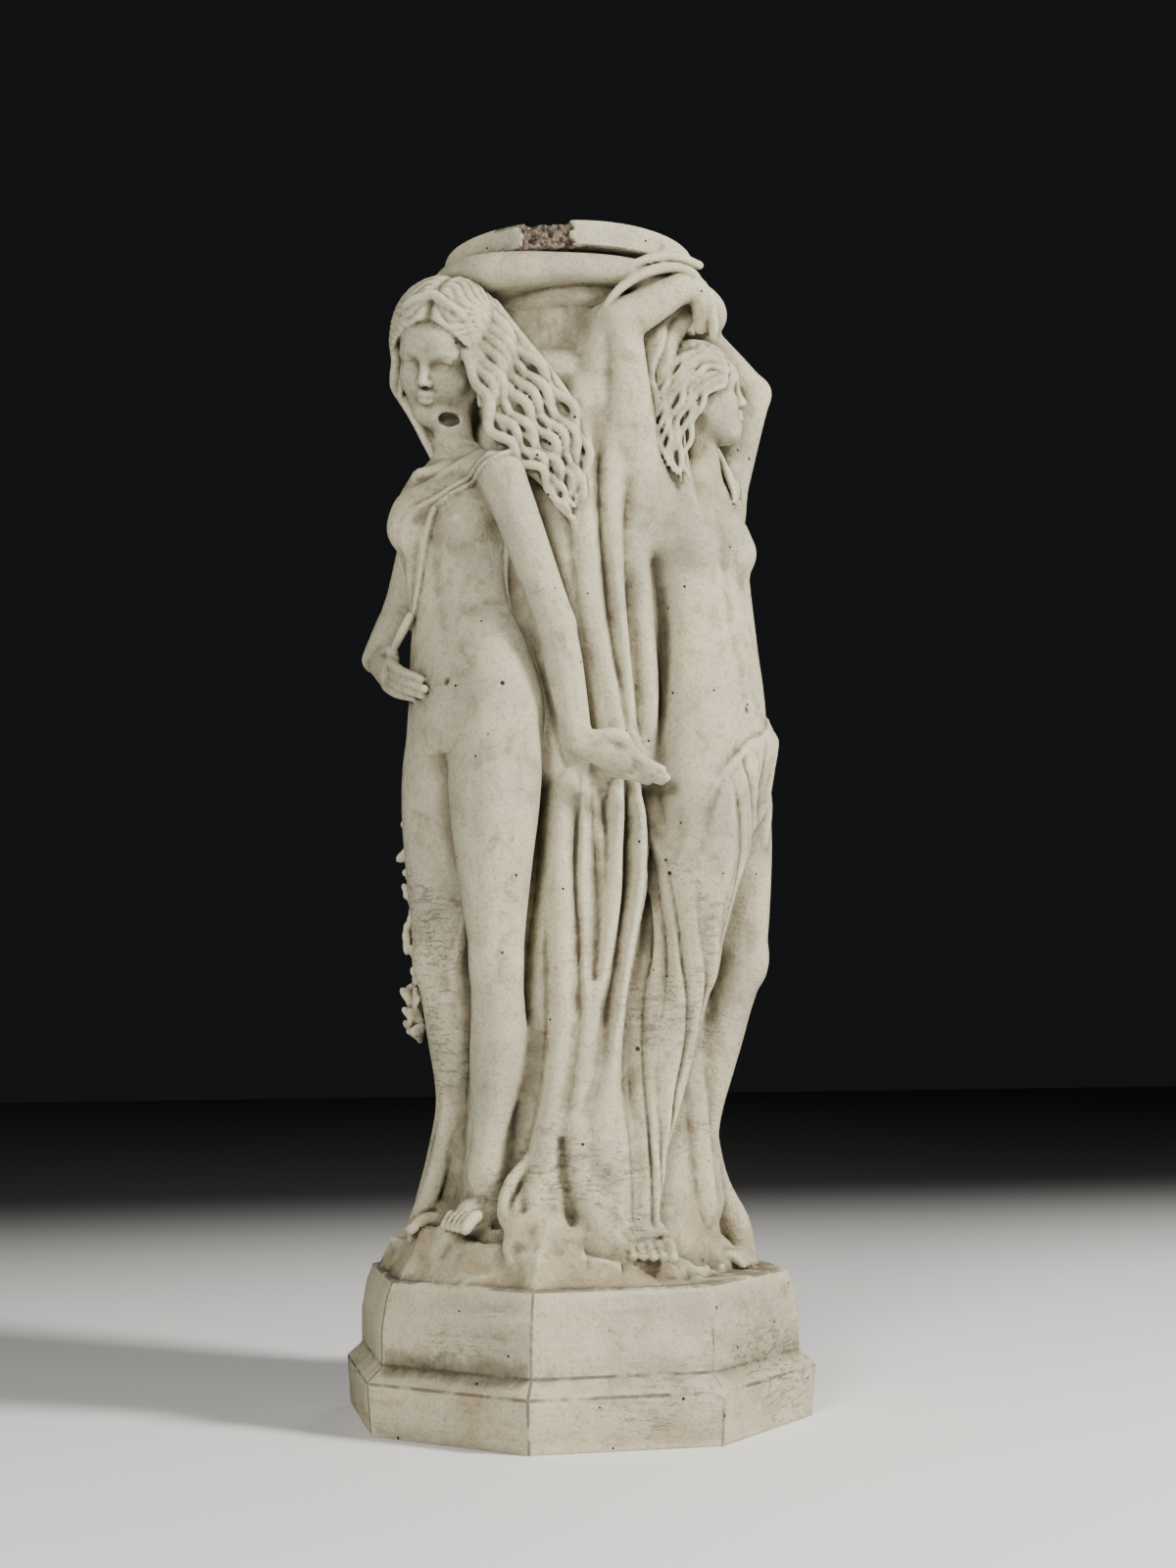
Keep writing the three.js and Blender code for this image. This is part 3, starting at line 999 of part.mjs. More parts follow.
  let left = faces.length;
  let limit = 0.002;
  for (let pass = 0; left > wanted && pass < 120; pass += 1) {
    for (let f = 0; f < faces.length && left > wanted; f += 1) {
      if (!alive[f]) continue;
      for (let i = 0; i < 3; i += 1) {
        const a = corners[3 * f + i];
        const b = corners[3 * f + ((i + 1) % 3)];
        if (a > b || touched[a] === pass || touched[b] === pass) continue;
        if (price(a, b) > limit) continue;
        const ring = near(a);
        const shared = near(b).filter((p) => ring.includes(p));
        if (shared.length !== 2 || shared.some((p) => around[p].length < 5)) continue;
        if (flips(a, b) || flips(b, a)) continue;
        at.set(spot, 3 * a);
        for (let c = 0; c < 10; c += 1) error[a * 10 + c] += error[b * 10 + c];
        for (const g of around[b]) {
          const has = corners[3 * g] === a || corners[3 * g + 1] === a || corners[3 * g + 2] === a;
          if (has) {
            alive[g] = 0;
            left -= 1;
            for (let c = 0; c < 3; c += 1) {
              const p = corners[3 * g + c];
              if (p !== b) around[p] = around[p].filter((h) => h !== g);
            }
          } else {
            for (let c = 0; c < 3; c += 1) if (corners[3 * g + c] === b) corners[3 * g + c] = a;
            around[a].push(g);
          }
        }
        around[b] = [];
        for (const p of near(a)) touched[p] = pass;
        touched[a] = pass;
        break;
      }
    }
    limit *= 1.25;
  }
  const kept = [];
  for (let f = 0; f < faces.length; f += 1) {
    if (alive[f]) kept.push([corners[3 * f], corners[3 * f + 1], corners[3 * f + 2]]);
  }
  return { points: points.map((p, i) => [at[3 * i], at[3 * i + 1], at[3 * i + 2]]), faces: kept };
}

function geometryOf({ points, faces }) {
  const used = new Map();
  const position = [];
  const index = faces.flat().map((p) => {
    if (!used.has(p)) {
      used.set(p, used.size);
      position.push(...points[p]);
    }
    return used.get(p);
  });
  const geometry = new THREE.BufferGeometry();
  geometry.setAttribute('position', new THREE.Float32BufferAttribute(position, 3));
  geometry.setIndex(index);
  return geometry;
}

fillHollows();
const carved = geometryOf(coarsen(skin(), carvedFacets));
carved.translate(0, 0, -DRAWN_FOOT);
carved.scale(scale, scale, scale);
carved.translate(0, 0, plinthHeight);

// Turned solids: the plinth has eight sides, the capital is round
function turned(profile, sides, turn = 0) {
  const geometry = new THREE.LatheGeometry(profile.map(([r, z]) => new THREE.Vector2(r, z)), sides);
  geometry.rotateX(Math.PI / 2);
  geometry.rotateZ(turn);
  return geometry;
}

const plinth = turned([[0, 0], [footRadius, 0], [lipRadius, footHeight], [waistRadius, footHeight + bevelRise],
  [(waistRadius * 3 + topRadius) / 4, plinthHeight - 12], [topRadius, plinthHeight], [0, plinthHeight]], 8, rad(22.5));

const rimFoot = totalHeight - rimHeight;
const neckTop = rimFoot - 22 * scale;
const ringFoot = rimFoot - 80 * scale;
const capital = turned([[0, ringFoot - 16 * scale], [neckRadius - 2, ringFoot - 16 * scale], [neckRadius, ringFoot - 6 * scale],
  [ringRadius, ringFoot + 2], [ringRadius, ringFoot + ringHeight * 0.6], [neckRadius, ringFoot + ringHeight],
  [neckRadius, neckTop - 12 * scale], [neckRadius + 6, neckTop - 2], [neckRadius + 6, rimFoot + 2],
  [rimRadius - rimEdge, rimFoot], [rimRadius, rimFoot + rimEdge], [rimRadius, totalHeight - rimEdge],
  [rimRadius - rimEdge, totalHeight], [0, totalHeight]], capitalFacets);

// The chip in the rim: a ragged bite from the edge
const bite = new THREE.IcosahedronGeometry(1, 2);
bite.deleteAttribute('normal');
bite.deleteAttribute('uv');
const bitten = bite.attributes.position;
for (let i = 0; i < bitten.count; i += 1) {
  const [x, y, z] = [bitten.getX(i), bitten.getY(i), bitten.getZ(i)];
  const rough = 1 + 0.09 * Math.sin(9 * x + 3 * z) * Math.sin(7 * y + 5 * z);
  bitten.setXYZ(i, x * rough * chipWidth, y * rough * chipDepth * 1.7, z * rough * rimHeight * 0.62);
}
bite.rotateZ(rad(chipAzimuth));
const bitePlace = onCore(chipAzimuth, totalHeight - rimHeight * 0.42, rimRadius + chipDepth * 0.7);
bite.translate(bitePlace.x, bitePlace.y, bitePlace.z);

const wasm = await Module();
wasm.setup();

function solid(geometry, joined = false) {
  const plain = geometry.clone();
  plain.deleteAttribute('normal');
  plain.deleteAttribute('uv');
  const merged = joined ? plain : mergeVertices(plain, 1e-4);
  const triangles = [];
  const index = merged.index.array;
  for (let i = 0; i < index.length; i += 3) {
    const [a, b, c] = [index[i], index[i + 1], index[i + 2]];
    if (a !== b && b !== c && c !== a) triangles.push(a, b, c);
  }
  return new wasm.Manifold(new wasm.Mesh({
    numProp: 3,
    vertProperties: new Float32Array(merged.attributes.position.array),
    triVerts: new Uint32Array(triangles),
  }));
}

const casting = solid(plinth).add(solid(carved, true)).add(solid(capital)).subtract(solid(bite));
const mesh = casting.getMesh();
const shape = new THREE.BufferGeometry();
shape.setAttribute('position', new THREE.BufferAttribute(mesh.vertProperties, 3));
shape.setIndex(new THREE.BufferAttribute(mesh.triVerts, 1));

const stone = new THREE.MeshStandardMaterial({ color: stoneColour, roughness: stoneRoughness, metalness: 0 });
const graces = new THREE.Mesh(shape, stone);
graces.name = 'three_graces_casting';

const statue = new THREE.Group();
statue.add(graces);

export default statue;
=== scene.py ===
# The three graces pedestal: a cast stone garden ornament, 760 mm tall. Three women stand with their
# backs to a column wrapped in cloth, on an eight-sided plinth, under a round capital.
# Shapes are worked out in millimetres and laid down in metres.
import math
import bpy
import numpy as np
from mathutils import Matrix, Vector


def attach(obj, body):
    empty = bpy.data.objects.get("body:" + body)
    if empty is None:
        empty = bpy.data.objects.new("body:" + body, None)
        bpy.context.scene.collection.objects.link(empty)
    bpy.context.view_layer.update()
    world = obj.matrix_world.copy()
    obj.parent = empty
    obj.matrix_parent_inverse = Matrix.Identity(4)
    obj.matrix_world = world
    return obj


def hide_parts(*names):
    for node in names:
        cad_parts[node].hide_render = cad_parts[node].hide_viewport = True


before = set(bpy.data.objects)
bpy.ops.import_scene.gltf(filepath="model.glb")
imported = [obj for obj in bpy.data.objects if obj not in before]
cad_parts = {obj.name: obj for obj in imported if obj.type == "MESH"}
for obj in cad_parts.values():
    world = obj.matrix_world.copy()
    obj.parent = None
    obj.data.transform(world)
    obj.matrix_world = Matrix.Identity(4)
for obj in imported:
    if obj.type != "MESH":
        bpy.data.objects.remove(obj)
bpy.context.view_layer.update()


# The plinth: an eight-sided block in two tiers, cast in one with all that stands on it. It flares a
# little to the ground, and a bevel leads back to the narrower upper tier. The whole casting is first
# worked as clay: a block of cells, each holding its distance to the surface, less than 0 in the stone.
F = np.float32
FAR = 40.0


def smooth_min(a, b, k):
    if k <= 0:
        return np.minimum(a, b)
    h = np.maximum(k - np.abs(a - b), 0)
    return np.minimum(a, b) - h * h * F(0.25 / k)


def smooth_max(a, b, k):
    return -smooth_min(-a, -b, k)


class Clay:
    def __init__(self, low, high, cell):
        self.cell = cell
        self.low = np.array(low, float)
        self.axes = [np.arange(l, h + cell, cell, dtype=F) for l, h in zip(low, high)]
        self.field = np.full([len(a) for a in self.axes], FAR, F)

    def region(self, low, high, margin):
        cut = []
        for i in range(3):
            a = int(max(0, math.floor((low[i] - margin - self.low[i]) / self.cell)))
            b = int(min(len(self.axes[i]), math.ceil((high[i] + margin - self.low[i]) / self.cell) + 1))
            if b <= a:
                return None
            cut.append((a, b))
        return cut

    def grid(self, cut):
        (a, b), (c, d), (e, g) = cut
        x, y, z = self.axes
        return x[a:b][:, None, None], y[c:d][None, :, None], z[e:g][None, None, :]

    def put(self, cut, d, k, mode):
        s = tuple(slice(a, b) for a, b in cut)
        if mode == "add":
            self.field[s] = smooth_min(self.field[s], d, k)
        else:
            self.field[s] = smooth_max(self.field[s], -d, k)

    def shape(self, low, high, k, shape, mode="add"):
        cut = self.region(low, high, k + 2 * self.cell)
        if cut is not None:
            self.put(cut, shape(*self.grid(cut)), k, mode)


HEIGHT = 760.0
CELL = 1.4
clay = Clay((-158, -158, -4), (158, 158, HEIGHT + 4), CELL)


def ramp(v, rows):
    return np.interp(v, [r[0] for r in rows], [r[1] for r in rows]).astype(F)


FLATS = [math.radians(45 * i) for i in range(8)]
ACROSS = math.cos(math.radians(22.5))
STEP_Z = 91.0
PLINTH_PROFILE = [(0, 150.8), (31.7, 153.4), (40.3, 143.4), (62, 143.6), (80, 140.5), (STEP_Z, 136.1)]


def outward(x, y):
    """how far out a place is, measured square to the plinth's nearest side"""
    d = -y
    for a in FLATS[1:]:
        d = np.maximum(d, x * F(math.sin(a)) - y * F(math.cos(a)))
    return d


def plinth(x, y, z):
    return np.maximum(np.maximum(outward(x, y) - ramp(z, PLINTH_PROFILE) * F(ACROSS), z - F(STEP_Z)), -z)


clay.shape((-158, -158, 0), (158, 158, STEP_Z), 0, plinth)


# The mound: rough ground cast on the plinth, high under the first grace and low under the second,
# with ledges that break off short of the plinth's edge and stones half sunk in it.
def ground(x, y):
    az = np.degrees(np.arctan2(x, -y))
    out = outward(x, y)
    high = np.interp(az, [-180, -110, -75, -20, 0, 9, 22, 60, 80, 98, 130, 180],
                     [112, 118, 123, 126, 122, 108, 101, 91, 93, 102, 116, 112])
    n = (2.6 * np.sin(x * .085 + 1.3) * np.sin(y * .11 + .4) + 1.6 * np.sin(x * .21 + y * .17)
         + 1.1 * np.abs(np.sin(x * .19 - y * .15 + 2.)) + .7 * np.sin(x * .47 + y * .39))
    turn = np.radians(az)
    step = 105 + 5 * np.sin(turn * 5 + 1) + 3 * np.sin(turn * 11) + 1.5 * np.sin(turn * 23)
    n = n - 8 * np.clip((out - step) / 3, 0, 1) * np.clip((120 - np.abs(az + 30)) / 30, .35, 1)
    edge = 123.5 + 1.2 * np.sin(turn * 7 + 1) + .8 * np.sin(turn * 13)
    fall = np.clip((edge - out) / 20, 0, 1)
    fall = 1 - (1 - fall) ** 1.8
    return np.where(out > 124.5, 60, STEP_Z - 3 + (high + n - STEP_Z + 3) * fall).astype(F)


clay.shape((-140, -140, STEP_Z - 10), (140, 140, 140), 1, lambda x, y, z: (z - ground(x, y)) * F(0.72))


def rock(az, r, z, size, seed, k=1.5):
    """a broken stone: a lump cut by flat faces"""
    c = np.array([r * math.sin(math.radians(az)), -r * math.cos(math.radians(az)), z])
    sides = np.random.default_rng(seed).normal(size=(11, 3))
    sides /= np.linalg.norm(sides, axis=1)[:, None]
    deep = np.random.default_rng(seed + 90).uniform(.62, 1.0, 11)

    def shape(x, y, z):
        d = -FAR
        for n, q in zip(sides, deep):
            level = (x - F(c[0])) * F(n[0]) + (y - F(c[1])) * F(n[1]) + (z - F(c[2])) * F(n[2] * 1.5)
            d = np.maximum(d, level - F(q * size))
        return (d * F(.8)).astype(F)
    clay.shape(c - size * 1.3, c + size * 1.3, k, shape)


for i in range(7):
    rock(-84 + 11 * i + 3 * math.sin(i * 2.3), 100 + 4 * math.sin(i * 1.7), 95 + 3 * math.sin(i * 1.1 + 1),
         17 + 3 * math.sin(i * 2.9), i, 5)
for i in range(13):
    rock(104 + 12 * i, 100 + 4 * math.sin(i * 1.7), 92 + 3 * math.sin(i * 1.3), 17 + 3 * math.sin(i * 2.9),
         40 + i, 5)


# The draped core: a round column wrapped in hanging cloth that the three figures lean on. Its folds are
# a relief, kept as a radius for each azimuth and height: round ridges, and gullies cut between them.
def spline(rows, per):
    """a smooth line through rows of numbers"""
    p = np.asarray(rows, float)
    p = np.concatenate([[2 * p[0] - p[1]], p, [2 * p[-1] - p[-2]]])
    out = []
    for i in range(1, len(p) - 2):
        for j in range(per):
            t = j / per
            a, b, c, d = p[i - 1:i + 3]
            out.append(b + 0.5 * t * (c - a + t * (2 * a - 5 * b + 4 * c - d + t * (3 * (b - c) + d - a))))
    out.append(p[-2])
    return np.array(out)


CORE_PROFILE = [(85, 94), (110, 92), (140, 87), (200, 81), (300, 75), (400, 74), (500, 75), (560, 76),
                (600, 73), (640, 67), (662, 63), (700, 60)]
TURN_STEPS = 900
zs = np.arange(80.0, 712.0, 1.0)
azs = np.linspace(-180, 180, TURN_STEPS, endpoint=False)
AZ, ZZ = np.meshgrid(azs, zs, indexing="ij")
core_r = ramp(ZZ, CORE_PROFILE)
relief = np.zeros((TURN_STEPS, len(zs)), F)


def along_path(path, ends):
    """across: how far each place is from the line; fade: 1 along it, 0 beyond its ends"""
    path = np.asarray(path, float)
    line = spline(path, 6)
    line = line[np.argsort(line[:, 1])]
    a = np.interp(zs, line[:, 1], line[:, 0])[None, :]
    slope = np.gradient(a[0]) * np.pi / 180 * core_r[0]
    off = (AZ - a + 180) % 360 - 180
    across = np.radians(off) * core_r / np.sqrt(1 + slope * slope)
    top, foot = path[:, 1].max(), path[:, 1].min()
    fade = np.clip((top - ZZ) / ends[0], 0, 1) * np.clip((ZZ - foot) / ends[1], 0, 1)
    return across, np.sin(fade * math.pi / 2)


def fold(path, width=12, height=10, k=1.2, ends=(45, 20)):
    """one fold of the cloth: its line as azimuth and height"""
    global relief
    d, fade = along_path(path, ends)
    w = width * (1.12 + .15 * np.sin(ZZ * .031 + path[0][0]))
    relief = -smooth_min(-relief, -(height * (fade - (d / w) ** 2)).astype(F), k)


def gully(path, width=5, depth=8, ends=(25, 25)):
    global relief
    d, fade = along_path(path, ends)
    relief = relief - (depth * fade * np.exp(-(d / width) ** 2)).astype(F)


rng = np.random.default_rng(3)
for centre in (120, -120):
    for i in range(10):
        a = centre - 54 + 11.8 * i
        j = rng.uniform(-1, 1, 6)
        fold([(a + 3 * j[0], 662 + 12 * j[1]), (a + 4 * j[2], 540),
              (a * .96 + centre * .04 + 5 * j[3], 400), (centre + (a - centre) * 1.1 + 4 * j[4], 250),
              (centre + (a - centre) * 1.15 + 3 * j[0], 116)], 11 + 3 * j[5], 10 + 2.5 * j[1])
        if i % 3 == 1:
            fold([(a + 7, 600 + 30 * j[5]), (a + 4, 470), (a + 2 * j[4], 330)], 7, 7)
for a in (150, 170, -150, -170, -68):
    fold([(a, 655), (a, 400), (a, 112)], 12, 9)
# the sheet that hangs from the second figure's elbow
fold([(9, 716), (1, 684), (-4, 659), (-6, 638), (-6, 583), (-3, 507), (7, 451), (12, 424), (13, 400)],
     13.4, 11.4, 1.2, (8, 30))
fold([(20, 712), (14, 650), (8, 600), (5, 560), (9, 511), (13, 470), (19, 432), (21, 396)],
     12.2, 9.7, 1.2, (8, 30))
fold([(30, 712), (24, 620), (20, 560), (22, 500), (26, 461), (27, 420), (28, 380)], 11, 7, 1.2, (8, 30))
gully([(2, 660), (0, 600), (1, 560), (5, 510), (11, 450), (16, 415)], 4, 5)
gully([(16, 540), (18, 500), (20, 459), (22, 415)], 5, 8)
# behind the first figure's arm
fold([(-22, 600), (-18, 573), (-10, 510), (-1, 470), (4, 430), (6, 396)], 13.4, 7.9)
fold([(-34, 600), (-29, 540), (-24, 490), (-14, 440), (-8, 400)], 12.2, 7)
fold([(-44, 590), (-38, 520), (-32, 470), (-26, 420), (-22, 390)], 12.2, 6.2)
# below the hand
fold([(-18, 412), (-19, 375), (-23, 324), (-26, 294), (-27, 254), (-29, 202), (-33, 150), (-35, 118)],
     11, 8.8)
fold([(-13, 412), (-17, 362), (-18, 334), (-16, 274), (-16, 243), (-18, 214), (-22, 184), (-26, 160),
      (-28, 130)], 13.4, 13.2, 1, (50, 30))
fold([(-7, 405), (-7, 354), (-7, 314), (-6, 274), (-6, 250), (-9, 214), (-12, 184), (-12, 160),
      (-10, 124)], 10.4, 11.4, .8, (60, 20))
fold([(-3, 396), (-1, 358), (1, 334), (2, 314), (1, 284)], 6.1, 7, .8, (40, 25))
fold([(11, 405), (10, 375), (8, 344), (6, 314), (2, 286), (-3, 262), (-6, 236)], 9.2, 11.4, .8, (30, 30))
fold([(19, 405), (20, 365), (17, 324), (10, 284), (6, 243), (3, 213), (0, 190), (-3, 165), (-2, 126)],
     11.6, 13.2, 1, (30, 30))
fold([(-40, 420), (-40, 330), (-42, 230), (-46, 112)], 12.2, 7)
gully([(-11, 392), (-11, 334), (-10, 294), (-12, 243), (-15, 204), (-17, 175), (-15, 140)], 3.6, 5)
gully([(-3, 380), (-3.5, 330), (-4, 268)], 5, 6, (40, 8))
gully([(15, 402), (13, 355), (12, 324), (7, 284), (1, 243), (-3, 213), (-8, 184), (-8, 150)], 3.6, 9)
gully([(23, 400), (26, 366), (25, 335), (21, 304), (16, 274), (12, 243), (9, 213), (5, 178), (4, 140)],
      5, 11)
core_reach = core_r + relief


def core(x, y, z):
    az = np.degrees(np.arctan2(x, -y))
    r = np.sqrt(x * x + y * y)
    i = (az + 180) * F(TURN_STEPS / 360)
    i0 = np.floor(i).astype(np.int32)
    w = i - i0
    i0 = i0 % TURN_STEPS
    j = np.clip((z - F(zs[0])).astype(np.int32), 0, len(zs) - 1)
    i0, j = np.broadcast_arrays(i0, j)
    q = core_reach[i0, j] * (1 - w) + core_reach[(i0 + 1) % TURN_STEPS, j] * w
    return np.maximum((r - q) * F(.72), z - 706)


clay.shape((-128, -128, 80), (128, 128, 706), 3, core)


# The hem: the ends of the cloth, which settle on the mound in broad lobes. One lip turns up round a
# pocket between the two front figures, and one pointed fold lies out to its right.
def on_core(az, z, r):
    a = math.radians(az)
    return np.array([r * math.sin(a), -r * math.cos(a), z])


def along(px, py, pz, way):
    return px * F(way[0]) + py * F(way[1]) + pz * F(way[2])


def tube(points, radii, k=3.0, flat=None, mode="add", per=4):
    """a round or flattened roll of clay along a smooth line"""
    r = np.broadcast_to(np.asarray(radii, float), (len(points),))
    s = spline(np.column_stack([np.asarray(points, float), r]), per)
    wide = max(r) + 0.5
    cut = clay.region(s[:, :3].min(0) - wide, s[:, :3].max(0) + wide, k + 2 * clay.cell)
    if cut is None:
        return
    d = np.full([b - a for a, b in cut], FAR, F)
    for a, b in zip(s, s[1:]):
        part = clay.region(np.minimum(a, b)[:3] - wide, np.maximum(a, b)[:3] + wide, k + 2 * clay.cell)
        if part is None:
            continue
        x, y, z = clay.grid(part)
        q = b[:3] - a[:3]
        qq = max(float(q @ q), 1e-6)
        px, py, pz = x - F(a[0]), y - F(a[1]), z - F(a[2])
        t = np.clip(along(px, py, pz, q) * F(1 / qq), 0, 1)
        px, py, pz = px - t * F(q[0]), py - t * F(q[1]), pz - t * F(q[2])
        reach = F(a[3]) + t * F(b[3] - a[3])
        if flat is not None:
            n, thin = flat
            w = along(px, py, pz, n) * F(1 / thin - 1)
            px, py, pz = px + w * F(n[0]), py + w * F(n[1]), pz + w * F(n[2])
            e = (np.sqrt(px * px + py * py + pz * pz) - reach) * F(0.45 + 0.55 * thin)
        else:
            e = np.sqrt(px * px + py * py + pz * pz) - reach
        s3 = tuple(slice(p[0] - c[0], p[1] - c[0]) for p, c in zip(part, cut))
        d[s3] = np.minimum(d[s3], e)
    clay.put(cut, d, k, mode)


def hem_roll(places, radii, k, mode="add"):
    tube([on_core(*p) for p in places], radii, k, None, mode)


hem_roll([(-15, 250, 76), (-19, 190, 84), (-22, 150, 92), (-23, 116, 100)], [7, 11, 14, 13], 9)
hem_roll([(-7, 250, 74), (-6, 190, 82), (-5, 150, 91), (-4, 116, 99)], [7, 11, 13, 11], 9)
hem_roll([(1, 240, 74), (3, 185, 84), (3, 152, 92), (4, 126, 100)], [7, 11, 11, 7], 9)
hem_roll([(-24, 150, 100), (-28, 134, 105), (-29, 120, 109)], [7, 10, 8], 5)
hem_roll([(-19.5, 200, 88), (-21, 172, 94), (-22, 152, 100), (-24, 137, 107), (-28, 127, 112),
          (-33, 128, 111), (-35.5, 138, 106), (-34, 152, 101), (-29, 164, 97)],
         [3, 5.4, 6, 6, 5.4, 5.4, 5, 4.4, 3], 4)
hem_roll([(-31, 158, 107), (-29.5, 147, 112), (-28, 138, 117)], [2.6, 4.2, 5], 2, "cut")
hem_roll([(-30, 127, 112), (-32, 115, 115), (-31, 106, 118)], [5.4, 4.4, 2.4], 4)
hem_roll([(-10, 184, 90), (-10, 160, 95), (-7.5, 144, 99), (-4, 131, 103), (0, 119, 108)],
         [6, 9.5, 9.5, 7.5, 3], 4)
hem_roll([(-17, 176, 97), (-16.5, 156, 103), (-14, 141, 108), (-9, 128, 112)], [2, 3.2, 3.2, 2], 3, "cut")


# The capital: a moulded ring, a smooth neck, a roll of cloth with three lobes and a flat round rim,
# cast with the rest. A piece of the rim has broken away at the front and shows the rough inside.
CAP_PROFILE = [(640, 64), (652, 65), (659, 70), (663, 72.5), (671, 72.5), (677, 68.5), (681, 65.5),
               (708, 66), (712, 70), (716, 72), (719, 72)]


def neck(x, y, z):
    side = np.sqrt(x * x + y * y) - ramp(z, CAP_PROFILE)
    return np.maximum(np.maximum(side, z - 735), 645 - z)


clay.shape((-80, -80, 645), (80, 80, 735), 1.5, neck)


def roll(x, y, z):
    a = np.arctan2(x, -y)
    r = np.sqrt(x * x + y * y)
    lobe = 0.5 - 0.5 * np.cos(3 * a)
    right = np.clip(np.sin(a), 0, 1)
    reach = 87 + 19 * lobe ** 1.5 + 2 * right * lobe
    thick = 9.5 + 3.5 * lobe
    mid = 730 - 2 * lobe - 12 * lobe * right
    rr = np.maximum(r - (reach - thick), 0)
    d = np.sqrt(rr * rr + (z - mid) ** 2) - thick
    return (d * F(.85)).astype(F)


clay.shape((-112, -112, 695), (112, 112, 748), 2.5, roll)
RIM_R = 84.5


def rim(x, y, z):
    r = np.sqrt(x * x + y * y)
    a = np.arctan2(x, -y)
    side = RIM_R - 0.0016 * (z - 750) ** 2 + 0.8 * np.sin(3 * a + 1)
    qx = np.maximum(r - side + 2.5, 0)
    qz = np.maximum(np.abs(z - 751) - 6.5, 0)
    return (np.sqrt(qx * qx + qz * qz) - 2.5).astype(F)


clay.shape((-90, -90, 738), (90, 90, 762), 1.0, rim)


CHIP_AZIMUTH = -22


def chip(x, y, z):
    az = np.degrees(np.arctan2(x, -y))
    r = np.sqrt(x * x + y * y)
    rough = 1.6 * np.sin(x * .55 + 1) * np.sin(z * .6 + y * .3) + 1.0 * np.sin(x * 1.3 + z * .9)
    return np.maximum(np.maximum(np.abs(az - CHIP_AZIMUTH) * 1.4 - 15 + rough * 2,
            77 + rough + (760 - z) * .25 - r), 742 - z).astype(F)


clay.shape((-62, -92, 738), (12, -60, 764), 1.5, chip, "cut")


# The first grace, on the left: she looks down, one hand on her belly and the other laid back on the
# folds. Her long hair falls in waves to one side, and a narrow sash crosses from shoulder to hip.
# Every figure has its own frame: her left, her front and up. Parts of her turn in it.
UP = np.array([0, 0, 1.0])


def unit(v):
    v = np.asarray(v, float)
    return v / np.linalg.norm(v)


class Frame:
    """left, front and up of a figure or of one part of it"""
    def __init__(self, origin, left, front, up, scale=1.0):
        self.origin, self.left, self.front, self.up, self.scale = origin, left, front, up, scale

    def __call__(self, l, f, u):
        return self.origin + self.scale * (l * self.left + f * self.front + u * self.up)

    def turned(self, centre, turn=0.0, nod=0.0, tilt=0.0, scale=1.0):
        t, n, r = (math.radians(a) for a in (turn, nod, tilt))
        left = self.left * math.cos(t) - self.front * math.sin(t)
        front = self.front * math.cos(t) + self.left * math.sin(t)
        front, up = front * math.cos(n) - self.up * math.sin(n), self.up * math.cos(n) + front * math.sin(n)
        left, up = left * math.cos(r) - up * math.sin(r), up * math.cos(r) + left * math.sin(r)
        return Frame(self(*centre), left, front, up, self.scale * scale)

    def local(self, x, y, z):
        px, py, pz = x - F(self.origin[0]), y - F(self.origin[1]), z - F(self.origin[2])
        return [along(px, py, pz, a) * F(1 / self.scale) for a in (self.left, self.front, self.up)]


def standing(azimuth):
    a = math.radians(azimuth)
    return Frame(np.zeros(3), np.array([math.cos(a), math.sin(a), 0.0]),
                 np.array([math.sin(a), -math.cos(a), 0.0]), np.array([0.0, 0.0, 1.0]))


def ellipse(u, v, ru, rv):
    k0 = np.sqrt((u / ru) ** 2 + (v / rv) ** 2)
    k1 = np.sqrt((u / (ru * ru)) ** 2 + (v / (rv * rv)) ** 2)
    return k0 * (k0 - 1) / np.maximum(k1, F(1e-4))


def ball(fr, centre, radii, k=3.0, mode="add"):
    c = fr(*centre)
    r = [q * fr.scale for q in ((radii,) * 3 if np.isscalar(radii) else radii)]
    axes = (fr.left, fr.front, fr.up)
    e = np.sqrt(sum((np.asarray(a) * q) ** 2 for a, q in zip(axes, r)))

    def shape(x, y, z):
        px, py, pz = x - F(c[0]), y - F(c[1]), z - F(c[2])
        k0 = k1 = 0
        for a, q in zip(axes, r):
            v = along(px, py, pz, a) * F(1 / q)
            k0 = k0 + v * v
            v = v * F(1 / q)
            k1 = k1 + v * v
        k0 = np.sqrt(k0)
        return k0 * (k0 - 1) / np.sqrt(k1 + F(1e-9))
    clay.shape(c - e, c + e, k, shape, mode)


def loft(fr, rows, k=4.0):
    """an upright form from rows of height, place, half width, depth in front and behind, and turn"""
    s = spline(rows, 6)
    s = s[np.argsort(s[:, 0])]
    top, foot = s[-1, 0], s[0, 0]
    corners = np.array([fr(l, f, u) for u, l, f in s[:, :3]])
    wide = s[:, 3:6].max() + 1
    low, high = corners.min(0) - wide, corners.max(0) + wide
    low[2], high[2] = foot, top

    def shape(x, y, z):
        zz = z.reshape(-1)
        v = [np.interp(zz, s[:, 0], s[:, i]).astype(F)[None, None, :] for i in range(1, 7)]
        l = x * F(fr.left[0]) + y * F(fr.left[1]) - v[0]
        f = x * F(fr.front[0]) + y * F(fr.front[1]) - v[1]
        c, sn = np.cos(np.radians(v[5])), np.sin(np.radians(v[5]))
        a = l * c - f * sn
        b = f * c + l * sn
        d = ellipse(a, b, v[2], np.where(b > 0, v[3], v[4])) * F(0.94)
        return np.maximum(d, np.maximum(z - F(top), F(foot) - z))
    clay.shape(low, high, k, shape)


